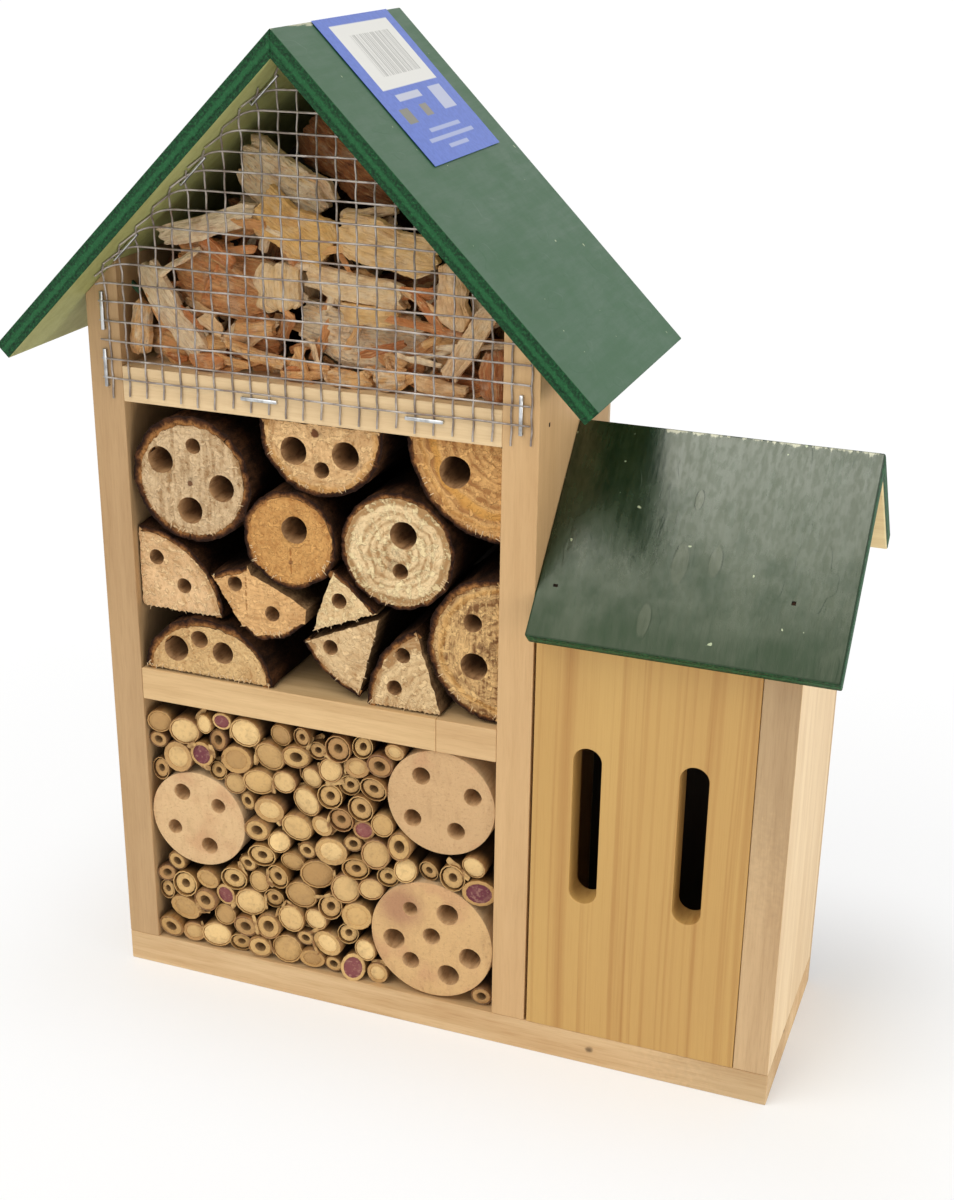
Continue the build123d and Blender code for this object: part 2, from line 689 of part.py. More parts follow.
# Each row: layer from the front, centre across and up, length and width (all shares, of the bay's
# width or of the height from the shelf to the ridge), turn in degrees, outline
chip_shares = {
    "bark_plates": (
        (3, 0.565, 0.67, 0.29, 0.16, -30, plate_share),
        (2, 0.41, 0.6, 0.23, 0.15, -28, plate_share),
        (2, 0.255, 0.285, 0.27, 0.18, -12, plate_share),
        (2, 0.615, 0.15, 0.32, 0.13, -6, plate_share),
    ),
    "pale_slabs": (
        (1, 0.465, 0.475, 0.2, 0.12, -38, slab_share),
        (1, 0.7, 0.447, 0.245, 0.1, -17, slab_share),
        (1, 0.236, 0.465, 0.26, 0.055, 15, slab_share),
        (1, 0.425, 0.3, 0.115, 0.1, -78, wedge_share),
        (1, 0.615, 0.322, 0.24, 0.06, -8, splinter_share),
        (1, 0.655, 0.235, 0.14, 0.045, -4, slab_share),
        (1, 0.86, 0.315, 0.15, 0.06, -84, slab_share),
    ),
    "split_chips": (
        (1, 0.125, 0.19, 0.24, 0.065, -58, slab_share),
        (1, 0.905, 0.18, 0.2, 0.045, 56, slab_share),
        (2, 0.84, 0.15, 0.11, 0.08, 30, wedge_share),
        (1, 0.965, 0.084, 0.12, 0.05, 86, slab_share),
        (1, 0.83, 0.032, 0.13, 0.035, -6, wedge_share),
        (2, 0.93, 0.28, 0.1, 0.06, -34, wedge_share),
        (2, 0.63, 0.535, 0.14, 0.025, 8, splinter_share),
    ),
    "small_chips": (
        (1, 0.6, 0.03, 0.11, 0.035, 2, wedge_share),
        (1, 0.705, 0.043, 0.08, 0.045, 10, wedge_share),
        (1, 0.475, 0.024, 0.11, 0.022, 4, splinter_share),
        (1, 0.35, 0.075, 0.16, 0.026, -15, splinter_share),
        (1, 0.04, 0.12, 0.13, 0.05, 82, wedge_share),
        (2, 0.1, 0.06, 0.14, 0.065, -14, wedge_share),
        (2, 0.325, 0.075, 0.13, 0.055, 6, slab_share),
        (1, 0.22, 0.034, 0.09, 0.04, 4, wedge_share),
        (1, 0.35, 0.155, 0.1, 0.04, 4, splinter_share),
    ),
    "back_chips": (
        (3, 0.2, 0.17, 0.36, 0.2, 4, slab_share),
        (3, 0.62, 0.25, 0.4, 0.3, 0, slab_share),
        (3, 0.9, 0.16, 0.14, 0.18, 0, slab_share),
        (4, 0.27, 0.18, 0.44, 0.22, 2, slab_share),
        (4, 0.74, 0.2, 0.4, 0.24, -3, slab_share),
        (4, 0.52, 0.48, 0.4, 0.14, 6, slab_share),
        (3, 0.35, 0.47, 0.3, 0.08, 14, slab_share),
    ),
}
gable_height = ridge_under - upper_shelf_top
gable_aspect = 0.76
layer_front = [front + chip_recess + sum(chip_layers[:k]) + k * content_gap for k in range(4)]


def chip_points(across, up, length_share, width_share, turn, outline_share):
    """A chip's outline in the top bay, turned about its centre."""
    points = []
    for along, aside in outline_share:
        dx, dz = along * length_share, aside * width_share
        x = across + dx * cos(radians(turn)) - dz * sin(radians(turn))
        z = up + (dx * sin(radians(turn)) + dz * cos(radians(turn))) / gable_aspect
        points.append((left_inner + x * main_bay_width, upper_shelf_top + z * gable_height))
    return points


for group, rows in chip_shares.items():
    with BuildPart() as heap:
        for layer, *form in rows:
            with BuildSketch(facing(layer_front[layer - 1] + chip_layers[layer - 1])) as outline:
                with BuildLine() as edge:
                    Polyline(*chip_points(*form), close=True)
                make_face()
            extrude(amount=chip_layers[layer - 1])
    save(heap, group)

print("canes", len(canes), "mesh", mesh_columns, "by", mesh_rows)
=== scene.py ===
import random
from math import atan2, ceil, cos, floor, hypot, pi, radians, sin, sqrt

import bmesh
import bpy
from mathutils import Matrix, Vector, noise


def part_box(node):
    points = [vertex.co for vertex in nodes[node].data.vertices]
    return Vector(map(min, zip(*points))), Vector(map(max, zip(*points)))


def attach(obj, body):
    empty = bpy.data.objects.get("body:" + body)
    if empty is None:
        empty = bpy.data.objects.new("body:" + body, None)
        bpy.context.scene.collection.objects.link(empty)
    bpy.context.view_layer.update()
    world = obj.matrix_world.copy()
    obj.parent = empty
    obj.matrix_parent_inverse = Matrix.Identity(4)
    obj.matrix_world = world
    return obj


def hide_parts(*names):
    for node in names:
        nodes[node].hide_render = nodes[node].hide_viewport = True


# Insect hotel: a wooden house with a green roof, filled with canes, drilled logs and bark chips.
# The CAD frame gives every place; here each piece gets its visible form and its finish.

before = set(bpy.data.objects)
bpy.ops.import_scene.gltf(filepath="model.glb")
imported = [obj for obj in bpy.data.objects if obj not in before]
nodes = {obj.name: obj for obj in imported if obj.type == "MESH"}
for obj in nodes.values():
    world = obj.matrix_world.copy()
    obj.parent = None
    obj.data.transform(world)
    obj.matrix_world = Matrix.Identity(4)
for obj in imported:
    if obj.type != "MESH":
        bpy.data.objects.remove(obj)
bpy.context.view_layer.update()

# Places of the house, in metres, as the CAD frame has them
BAY_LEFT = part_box("upper_shelf")[0].x
BAY_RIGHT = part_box("upper_shelf")[1].x
SHELF_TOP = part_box("upper_shelf")[1].z
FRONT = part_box("upper_shelf")[0].y
RIDGE_X = (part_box("left_board")[0].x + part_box("centre_board")[1].x) / 2
RIDGE_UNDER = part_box("main_back_panel")[1].z
SHEET = 0.006
SLOPE = sqrt(0.5)
MM = 0.001

dice = random.Random(7)


def sway(most):
    """A random number on either side of 0."""
    return dice.uniform(-most, most)


def lumps(*place):
    """Smooth noise at a place, from about -1 to 1."""
    return noise.noise(Vector(place))


def add_node(tree, kind, settings, sockets, output=0):
    """Add a shader node and give the value at one of its outputs."""
    node = tree.nodes.new("ShaderNode" + kind)
    for setting, value in settings.items():
        setattr(node, setting, value)
    for socket, value in sockets.items():
        if isinstance(value, Value):
            tree.links.new(value.socket, node.inputs[socket])
        else:
            node.inputs[socket].default_value = value
    return Value(tree, node.outputs[output])


class Value:
    """A shader value on which Python's operators add Math nodes."""

    def __init__(self, tree, socket):
        self.tree = tree
        self.socket = socket

    def maths(self, operation, second=0.0):
        return add_node(self.tree, "Math", {"operation": operation}, {0: self, 1: second})

    def vector(self, operation, second=(0, 0, 0), output=0):
        return add_node(self.tree, "VectorMath", {"operation": operation}, {0: self, 1: second}, output)

    def rise(self, low, high):
        """0 below low and 1 above high, with a smooth step."""
        sockets = {"Value": self, "From Min": low, "From Max": high}
        return add_node(self.tree, "MapRange", {"interpolation_type": "SMOOTHSTEP"}, sockets)

    def fall(self, low, high):
        """1 below low and 0 above high, with a smooth step."""
        return 1 - self.rise(low, high)

    def __abs__(self):
        return self.maths("ABSOLUTE")

    def __add__(self, other):
        return self.maths("ADD", other)

    def __sub__(self, other):
        return self.maths("SUBTRACT", other)

    def __rsub__(self, other):
        return add_node(self.tree, "Math", {"operation": "SUBTRACT"}, {0: other, 1: self})

    def __mul__(self, other):
        return self.maths("MULTIPLY", other)

    __radd__ = __add__


class Finish:
    """The node material of one finish."""

    def __init__(self, name, roughness=0.6, **sockets):
        self.material = bpy.data.materials.new(name)
        self.material.use_nodes = True
        self.tree = self.material.node_tree
        self.shader = self.tree.nodes["Principled BSDF"]
        self.shader.inputs["Roughness"].default_value = roughness
        for socket, value in sockets.items():
            self.shader.inputs[socket.replace("_", " ")].default_value = value
        self.place = self.add("TexCoord", {}, {}, "Object")

    def add(self, kind, settings, sockets, output=0):
        return add_node(self.tree, kind, settings, sockets, output)

    def noise(self, scale, stretch=(1, 1, 1), detail=3.0, roughness=0.5, shift=(0, 0, 0), where=None):
        """Noise over the piece, with the stretched axis given as a small share."""
        sockets = {"Vector": where or self.place, "Location": shift, "Scale": stretch}
        where = self.add("Mapping", {}, sockets)
        sockets = {"Vector": where, "Scale": scale, "Detail": detail, "Roughness": roughness}
        return self.add("TexNoise", {}, sockets)

    def leaning(self, turn, stretch):
        """The place turned round Y and stretched, for strokes that lean."""
        return self.add("Mapping", {}, {"Vector": self.place, "Rotation": (0, turn, 0), "Scale": stretch})

    def mix(self, amount, first, second, blend="MIX"):
        """Two colours mixed by an amount."""
        colours = [c if isinstance(c, Value) else (*c, 1.0) for c in (first, second)]
        settings = {"data_type": "RGBA", "blend_type": blend}
        return self.add("Mix", settings, {0: amount, 6: colours[0], 7: colours[1]}, 2)

    def ramp(self, value, *stops):
        """A colour along a value, from stops of a position and a colour."""
        ramp = self.add("ValToRGB", {}, {"Fac": value})
        elements = ramp.socket.node.color_ramp.elements
        while len(elements) < len(stops):
            elements.new(1.0)
        for element, (position, colour) in zip(elements, stops):
            element.position = position
            element.color = (*colour, 1.0)
        return ramp

    def tone(self):
        """The tone that each cane or chip carries."""
        return self.add("Attribute", {"attribute_name": "tone"}, {}, "Fac")

    def away_from(self, point, flat=(1, 1, 1)):
        """Distance from a point, over the axes that flat keeps."""
        return self.place.vector("SUBTRACT", point).vector("MULTIPLY", flat).vector("LENGTH", output="Value")

    def along(self, direction):
        """Distance along a direction."""
        return self.place.vector("DOT_PRODUCT", direction, "Value")

    def deep(self, colour, start, reach, left):
        """Painted shade: darken a colour towards the back of its bay, down to a share that is left."""
        painted_shade_share = self.along((0, 1, 0)).rise(FRONT + start, FRONT + start + reach)
        return self.mix(painted_shade_share, colour, self.mix(1.0, colour, (left, left * 0.9, left * 0.8), "MULTIPLY"))

    def wear(self, colour, height=None, depth=0.0, **sockets):
        """Link the colour, a bump of some metres' depth, and other varying sockets to the shader."""
        sockets["Base Color"] = colour
        if height is not None:
            sockets["Normal"] = self.add("Bump", {}, {"Height": height, "Distance": depth})
        for socket, value in sockets.items():
            self.tree.links.new(value.socket, self.shader.inputs[socket.replace("_", " ")])
        return self


def stretched(run, share):
    """Noise scales with the axes named in run brought down to a share."""
    return [share if axis in run else 1.0 for axis in "xyz"]


def planed_wood(name, pale, dark, run, lines, slide, spots=()):
    """Planed, bare wood: run is the axis of its grain, slide sets its pattern apart from the others'."""
    finish = Finish(name, 0.62)
    shift = (slide, 0, 0)
    broad = finish.noise(26, stretched(run, 0.2), 2, 0.5, shift)
    streak = finish.noise(240, stretched(run, 0.05), 4, 0.6, shift)
    pores = finish.noise(1500, stretched(run, 0.05), 2, 0.7, shift)
    tone = broad.rise(0.35, 0.68) * 0.5 + streak.rise(0.3, 0.7) * lines + pores.rise(0.42, 0.72) * 0.24
    colour = finish.mix(tone, pale, dark)
    for place, size, darkness in spots:
        edge = finish.away_from(place) + finish.noise(600, detail=2) * size * 0.8
        spot = edge.fall(size * 0.7, size * 1.5) * darkness
        colour = finish.mix(spot, colour, [0.35 * share for share in dark])
    return finish.wear(colour, streak * 0.6 + pores, 0.00012)


def pine(name, pale, dark):
    """Pine with upright year lines."""
    finish = Finish(name, 0.55)
    waver = finish.noise(14, (1, 1, 0.35), 1, 0.4)
    offset = finish.add("VectorMath", {"operation": "SCALE"}, {0: (0.006, 0, 0), "Scale": waver})
    where = finish.place.vector("ADD", offset)
    years = finish.noise(170, (1, 0.2, 0.006), 2, 0.55, where=where)
    lines = finish.noise(620, (1, 0.2, 0.004), 2, 0.6, where=where)
    fibres = finish.noise(2600, (1, 1, 0.02), 2, 0.6)
    broad = finish.noise(30, (1, 1, 0.1), 2, 0.5, (3, 0, 0))
    late = years.rise(0.52, 0.66) * 0.42 + lines.rise(0.5, 0.74) * 0.34
    tone = late + broad.rise(0.35, 0.7) * 0.26 + fibres.rise(0.45, 0.75) * 0.12
    return finish.wear(finish.mix(tone, pale, dark), late + fibres * 0.4, 0.0001)


def roof_paint(name, coat, worn, run, roughness, gloss, dull, ridge, reach, varnish=0.0, blisters=()):
    """Satin green paint on plywood: duller towards the eave, and pale in places along the ridge, part wear
    and part painted highlight.

    run names the axes of the brush strokes; ridge is a height, and reach how far below it the gloss
    and the varnish go.
    """
    green_gloss = (0.92, 1.0, 0.74, 1.0)
    finish = Finish(name, roughness, Specular_IOR_Level=gloss, Coat_Roughness=0.24, Specular_Tint=green_gloss)
    streak = finish.noise(420, stretched(run, 0.12), 4, 0.6)
    blotch = finish.noise(60, detail=4, roughness=0.6, shift=(5, 2, 0))
    ovals = finish.noise(150, stretched(run, 0.4), 1, 0.4, (2, 9, 4))
    speck = finish.noise(380, detail=1, shift=(1, 7, 3))
    cells = finish.noise(640, stretched(run, 0.4), 2, 0.5, (3, 3, 8))
    down = ridge - finish.along((0, 0, 1))
    colour = finish.mix(streak.rise(0.35, 0.75) * 0.45 + blotch.rise(0.4, 0.7) * 0.4, coat, worn)
    colour = finish.mix(speck.rise(0.795, 0.805), colour, (0.4, 0.46, 0.3))
    # The pale band along the ridge is part wear and part painted highlight; on the small roof it is left out
    # at its left end, where the lamp's reflection is blocked.
    unlit_end = finish.along((1, 0, 0)).fall(0.06, 0.068) * varnish
    wear_and_highlight = streak * 0.5 + blotch * 0.5 + varnish * 0.03 - unlit_end * 0.3 - down * 110
    colour = finish.mix(wear_and_highlight.rise(0.42, 0.5), colour, (0.5, 0.5, 0.36))
    rough = roughness + (down + (blotch - 0.5) * reach).rise(reach * 0.25, reach) * dull
    rough = rough + blotch.rise(0.35, 0.7) * 0.1 + streak.rise(0.3, 0.7) * 0.1
    height = streak * 0.8 + blotch * 0.6 + ovals.rise(0.62, 0.66) * 0.35 + cells * varnish * 0.7
    for place, size in blisters:
        out = finish.away_from(place, (1, 0.4, 0.35)) + (streak - 0.5) * 0.0008
        inside = out.fall(size * 0.8, size * 1.1)
        height = height + inside * 0.9
        colour = finish.mix(inside * 0.7, colour, (0.055, 0.07, 0.045))
    film = (down + (blotch - 0.5) * 0.02).fall(0, reach) * varnish
    film = film * (0.6 + streak.rise(0.35, 0.65) * 0.35 + cells.rise(0.42, 0.58) * 0.35)
    return finish.wear(colour, height, 0.0001, Roughness=rough, Coat_Weight=film)


def painted_edge(name, normal, middle):
    """The painted plywood edge: rough outer plies and a lighter line along the middle."""
    finish = Finish(name, 0.5, Specular_IOR_Level=0.2)
    across = finish.along(normal) - middle
    ply = abs(across + (finish.noise(500) - 0.5) * 0.0012)
    rough = finish.noise(1100, detail=4, roughness=0.7)
    greens = (0.36, (0.002, 0.018, 0.006)), (0.54, (0.006, 0.062, 0.019)), (0.76, (0.024, 0.16, 0.048))
    colour = finish.mix(ply.fall(0.0003, 0.0011) * 0.5, finish.ramp(rough, *greens), (0.022, 0.15, 0.05))
    return finish.wear(colour, rough - ply.rise(0.0009, 0.0016) * 0.5, 0.0006)


def sawn_end(name, pale, dark, pith, rim, lean, strokes, years, crack, marks, bands):
    """The sawn end of a log: broken rings round the pith, saw strokes, specks, marks and a darker rim."""
    finish = Finish(name, 0.8, Specular_IOR_Level=0.25)
    centre, across = (pith[0] * MM, 0, pith[1] * MM), (1, 0, 1)
    heading = finish.place.vector("SUBTRACT", centre).vector("MULTIPLY", across).vector("NORMALIZE")
    out = finish.away_from(centre, across) + (finish.noise(110, detail=2) - 0.5) * 0.005
    outward = finish.add("CombineXYZ", {}, {"Y": out * 900})
    polar = heading.vector("MULTIPLY", (7, 7, 7)).vector("ADD", outward)
    fibres = finish.add("TexNoise", {}, {"Vector": polar, "Scale": 1.0, "Detail": 2.0, "Distortion": 0.4})
    year = finish.add("CombineXYZ", {}, {"Y": out * 380})
    rings = finish.add("TexNoise", {}, {"Vector": year, "Scale": 1.0, "Detail": 0.0})
    saw = finish.noise(640, where=finish.leaning(lean, (1, 0.2, 0.14)))
    specks = finish.noise(620, roughness=0.65)
    fluff = finish.noise(460, roughness=0.6, shift=(4, 0, 0))
    broad = finish.noise(120, detail=2)
    tone = fibres.rise(0.48, 0.64) * 0.32 + rings.rise(0.46, 0.62) * years
    tone = tone + saw.rise(0.46, 0.62) * 0.46 * strokes + specks.rise(0.56, 0.68) * 0.42
    tone = tone + broad.rise(0.42, 0.68) * 0.36
    if rim:
        tone = tone + out.rise((rim - 4.6) * MM, (rim - 1.8) * MM) * 0.6
    if crack:
        x, low, high = (value * MM for value in crack)
        aside = finish.along((1, 0, 0)) - x + (fluff - 0.5) * 0.0006
        gap = abs(aside).fall(0.0001, 0.0005) * specks.rise(0.4, 0.48)
        height = finish.along((0, 0, 1))
        tone = tone + gap * height.rise(low, low + MM) * height.fall(high - MM, high) * 1.2
    fuzz = fluff.rise(0.5, 0.62)
    fuzz_tone = [min(share * 1.28, 0.96) for share in pale]
    colour = finish.mix(fuzz * 0.55, finish.mix(tone, pale, dark), fuzz_tone)
    for radius, width, strength in bands:
        band = abs(out - radius * MM).fall(width * 0.0003, width * MM)
        colour = finish.mix(band * strength, colour, (0.62, 0.3, 0.06))
    for x, z, size, darkness in marks:
        reach = finish.away_from((x * MM, 0, z * MM), across) + (specks - 0.5) * size * MM
        spot = reach.fall(size * 0.0007, size * 0.0012)
        colour = finish.mix(spot * darkness, colour, (0.15, 0.055, 0.02))
    return finish.wear(colour, fibres * 0.6 + saw * 0.9 * strokes + fuzz * 0.4 - specks * 0.7, 0.001)


def rough_bark(name, deep, ridge, fine=1.0, left=0.25):
    """Bark with ridges along the log, with painted shade that darkens it towards the back, between the logs.
    """
    finish = Finish(name, 0.9, Specular_IOR_Level=0.1)
    plates = finish.noise(170 * fine, (1, 0.35, 1), 4, 0.65)
    grit = finish.noise(800, (1, 0.6, 1), 3, 0.7)
    between = [(a + b) / 2 for a, b in zip(deep, ridge)]
    colour = finish.ramp(plates, (0.36, deep), (0.54, between), (0.68, ridge))
    colour = finish.mix(grit.rise(0.42, 0.66) * 0.6, colour, deep)
    return finish.wear(finish.deep(colour, 0.003, 0.012, left), plates + grit * 0.4, 0.0014)


def bark_rim(name):
    """The cut through the bark: orange-brown inside and nearly black outside."""
    finish = Finish(name, 0.9, Specular_IOR_Level=0.15)
    grit = finish.noise(900, roughness=0.7)
    inner = finish.tone() + (finish.noise(300, detail=2) - 0.5) * 0.9
    browns = (0.1, (0.022, 0.009, 0.005)), (0.34, (0.12, 0.045, 0.017)), (0.62, (0.42, 0.19, 0.06))
    colour = finish.mix(grit.rise(0.45, 0.65) * 0.6, finish.ramp(inner, *browns), (0.02, 0.008, 0.004))
    return finish.wear(colour, grit, 0.0012)


def drilled(name, light, dark):
    """The wall of a drilled hole, with painted shade that darkens it towards the back."""
    finish = Finish(name, 0.85)
    torn = finish.noise(420, (1, 0.3, 1), 3, 0.6)
    colour = finish.mix(torn.rise(0.4, 0.68), light, dark)
    return finish.wear(finish.deep(colour, 0.004, 0.012, 0.35), torn, 0.0005)


def cut_cane(name, stops, scale=900, marks=0.35, mark=(0.3, 0.17, 0.07)):
    """A cane's cut end, coloured by the tone of each cane."""
    finish = Finish(name, 0.72)
    dots = finish.noise(scale, detail=2, roughness=0.6)
    patches = finish.noise(260, detail=2)
    tint = dots.rise(0.5, 0.7) * marks + patches.rise(0.5, 0.7) * 0.2
    return finish.wear(finish.mix(tint, finish.ramp(finish.tone(), *stops), mark), dots, 0.0004)


def cane_side(name):
    """The smooth outside of a cane, with stripes along it, and painted shade that darkens it between its
    neighbours towards the back.
    """
    finish = Finish(name, 0.5)
    stripes = finish.noise(900, (1, 0.03, 1), 3, 0.6)
    patches = finish.noise(200, (1, 0.4, 1), 3, 0.6)
    tans = (0.0, (0.3, 0.15, 0.045)), (0.5, (0.35, 0.18, 0.055)), (1.0, (0.2, 0.085, 0.03))
    colour = finish.mix(stripes.rise(0.4, 0.7) * 0.5, finish.ramp(finish.tone(), *tans), (0.15, 0.065, 0.02))
    colour = finish.mix(patches.rise(0.5, 0.66) * 0.4, colour, (0.5, 0.32, 0.13))
    return finish.wear(finish.deep(colour, -0.0002, 0.007, 0.09), stripes, 0.0002)


def chip_wood(name, stops, dark, mottle):
    """Split wood and bark of the chips: layers and fibres along each chip, coloured by its tone, with painted
    shade towards the back of the bay.
    """
    finish = Finish(name, 0.82, Specular_IOR_Level=0.25)
    uv = finish.add("UVMap", {}, {})
    fibres = finish.noise(9, (0.12, 1, 1), 4, 0.65, where=uv)
    layers = finish.noise(3.2, (0.45, 1, 1), 3, 0.6, where=uv)
    grit = finish.noise(700, roughness=0.7)
    stains = finish.noise(130, detail=4, roughness=0.65)
    bleached = finish.noise(170, roughness=0.6, shift=(7, 3, 1))
    colour = finish.ramp(finish.tone() + (layers - 0.5) * mottle, *stops)
    shade = fibres.rise(0.5, 0.66) * 0.38 + grit.rise(0.54, 0.7) * (0.12 + 0.3 * mottle)
    for amount, tint in (
        (stains.rise(0.5, 0.64) * 0.4, (0.5, 0.22, 0.085)),
        (bleached.rise(0.52, 0.66) * 0.32, (0.74, 0.58, 0.4)),
        (shade, dark),
        (fibres.fall(0.36, 0.48) * 0.35, (0.92, 0.62, 0.3)),
    ):
        colour = finish.mix(amount, colour, tint)
    return finish.wear(finish.deep(colour, 0.011, 0.017, 0.05), fibres + layers * 0.6 + grit * 0.5, 0.0014)


def mottled(name, roughness, patches, low, high, first, second, depth=0.0, rust=0.0, **sockets):
    """Two colours in patches, which are given as the settings of their noise, and rust in the middles."""
    finish = Finish(name, roughness, **sockets)
    patch = finish.noise(*patches)
    colour = finish.mix(patch.rise(low, high), first, second)
    if rust:
        colour = finish.mix(patch.rise(0.62, 0.72) * rust, colour, (0.22, 0.1, 0.05))
    return finish.wear(colour, patch if depth else None, depth)


def printed_paper(name):
    """Blue coated paper with a plain white panel, grey bars in it and a few blank marks."""
    finish = Finish(name, 0.35, Coat_Weight=0.2)
    uv = finish.add("UVMap", {}, {})
    u, v = (finish.add("SeparateXYZ", {}, {0: uv}, axis) for axis in (0, 1))
    soft = 0.004

    def panel(left, right, low, high):
        wide = u.rise(left - soft, left + soft) * u.fall(right - soft, right + soft)
        return wide * v.rise(low - soft, low + soft) * v.fall(high - soft, high + soft)

    fibres = finish.noise(700, detail=2)
    colour = finish.mix(fibres.rise(0.3, 0.7), (0.047, 0.118, 0.52), (0.064, 0.142, 0.585))
    for left, right, low, high, shade in (
        (0.13, 0.9, 0.5, 0.945, (0.76, 0.76, 0.73)),
        (0.22, 0.54, 0.415, 0.46, (0.5, 0.53, 0.66)),
        (0.12, 0.24, 0.27, 0.37, (0.17, 0.17, 0.13)),
        (0.4, 0.5, 0.29, 0.37, (0.2, 0.19, 0.16)),
        (0.68, 0.86, 0.3, 0.46, (0.46, 0.5, 0.68)),
        (0.28, 0.72, 0.19, 0.215, (0.34, 0.4, 0.66)),
        (0.18, 0.82, 0.13, 0.155, (0.34, 0.4, 0.66)),
        (0.36, 0.64, 0.07, 0.095, (0.34, 0.4, 0.66)),
    ):
        colour = finish.mix(panel(left, right, low, high), colour, shade)
    bars = panel(0.27, 0.8, 0.58, 0.87) * finish.noise(55, (1, 0.001, 1), 1, where=uv).rise(0.46, 0.52)
    return finish.wear(finish.mix(bars * 0.75, colour, (0.34, 0.34, 0.32)), fibres, 0.00003)


def add_object(name, data):
    """An object of the scene that holds some data."""
    thing = bpy.data.objects.new(name, data)
    bpy.context.scene.collection.objects.link(thing)
    return thing


def face_out(shape):
    """Turn all faces outwards."""
    bmesh.ops.recalc_face_normals(shape, faces=shape.faces)


def ease(shape, edges, width):
    """Round edges off in two small steps."""
    bmesh.ops.bevel(
        shape, geom=edges, offset=width, offset_type="OFFSET", segments=2, profile=0.5,
        affect="EDGES", material=-1, clamp_overlap=True,
    )


def layer(layers, name):
    """A named layer of a bmesh, which is added if it isn't there yet."""
    return layers.get(name) or layers.new(name)


def extent(corners):
    """The lowest and the highest coordinates of some corners."""
    return [[end(corner[axis] for corner in corners) for axis in range(3)] for end in (min, max)]


def joined_copy(node_name):
    """A CAD node's form, with its loose triangles merged into flat faces."""
    shape = bmesh.new()
    shape.from_mesh(nodes[node_name].data)
    bmesh.ops.remove_doubles(shape, verts=shape.verts, dist=2e-6)
    bmesh.ops.dissolve_limit(shape, angle_limit=radians(2), verts=shape.verts, edges=shape.edges)
    return shape


def islands(node_name):
    """The corners of each loose solid in a CAD node, in an order that is the same each run."""
    shape = joined_copy(node_name)
    seen = set()
    found = []
    for start in shape.verts:
        if start in seen:
            continue
        seen.add(start)
        group = [start]
        for vert in group:
            for edge in vert.link_edges:
                other = edge.other_vert(vert)
                if other not in seen:
                    seen.add(other)
                    group.append(other)
        found.append(sorted(v.co.to_tuple() for v in group))
    shape.free()
    return [[Vector(corner) for corner in corners] for corners in sorted(found)]


def finish_piece(shape, name, finishes, stands_for, crease=40):
    """Turn a bmesh into a piece of the house, with edges sharp above the crease in degrees."""
    mesh = bpy.data.meshes.new(name)
    shape.to_mesh(mesh)
    shape.free()
    mesh.shade_smooth()
    mesh.set_sharp_from_angle(angle=radians(crease))
    piece = add_object(name, mesh)
    for finish in finishes:
        mesh.materials.append(finish.material)
    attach(piece, "root")
    if stands_for:
        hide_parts(*stands_for)


def eased(node_name, width, shortest=0.0):
    """A CAD node's form with its sharp edges eased, apart from edges shorter than the shortest."""
    shape = joined_copy(node_name)
    sharp = []
    for edge in shape.edges:
        folded = len(edge.link_faces) == 2 and edge.calc_face_angle() > radians(30)
        if folded and edge.calc_length() > shortest:
            sharp.append(edge)
    ease(shape, sharp, width)
    return shape


# Boards: the axis of the grain, the pale and the dark tone, the strength of the lines, the slide
FLAT_CREASE = 15
DARK_POPLAR = (0.5, 0.3, 0.13)
BOARDS = (
    ("base_board", "x", (0.76, 0.56, 0.32), DARK_POPLAR, 0.4, 0.1),
    # The left board's tones are darkened as painted shade, for light that falls off towards the left.
    ("left_board", "z", (0.52, 0.335, 0.166), (0.36, 0.21, 0.09), 0.3, 0.4),
    ("centre_board", "z", (0.66, 0.43, 0.21), DARK_POPLAR, 0.3, 0.9),
    ("right_board", "z", (0.86, 0.69, 0.45), (0.62, 0.44, 0.25), 0.35, 1.7),
    ("upper_shelf", "x", (0.76, 0.57, 0.33), (0.54, 0.36, 0.18), 0.4, 2.3),
    ("lower_shelf", "x", (0.76, 0.53, 0.27), (0.52, 0.32, 0.14), 0.4, 3.1),
    ("lower_shelf_end", "x", (0.72, 0.49, 0.25), (0.5, 0.3, 0.13), 0.4, 4.2),
    ("main_back_panel", "z", (0.68, 0.5, 0.3), (0.46, 0.3, 0.16), 0.5, 5.1),
    ("side_back_panel", "z", (0.68, 0.5, 0.3), (0.46, 0.3, 0.16), 0.5, 6.4),
)
# Dark spots: place, size and darkness. On the base, a broad darker patch at its right end and two nail marks
BASE_SPOTS = (
    ((0.125, FRONT, 0.006), 0.05, 0.24),
    ((0.0594, FRONT, 0.006), 0.0016, 1.0),
    ((0.1217, -0.0102, 0.0115), 0.0011, 1.0),
)
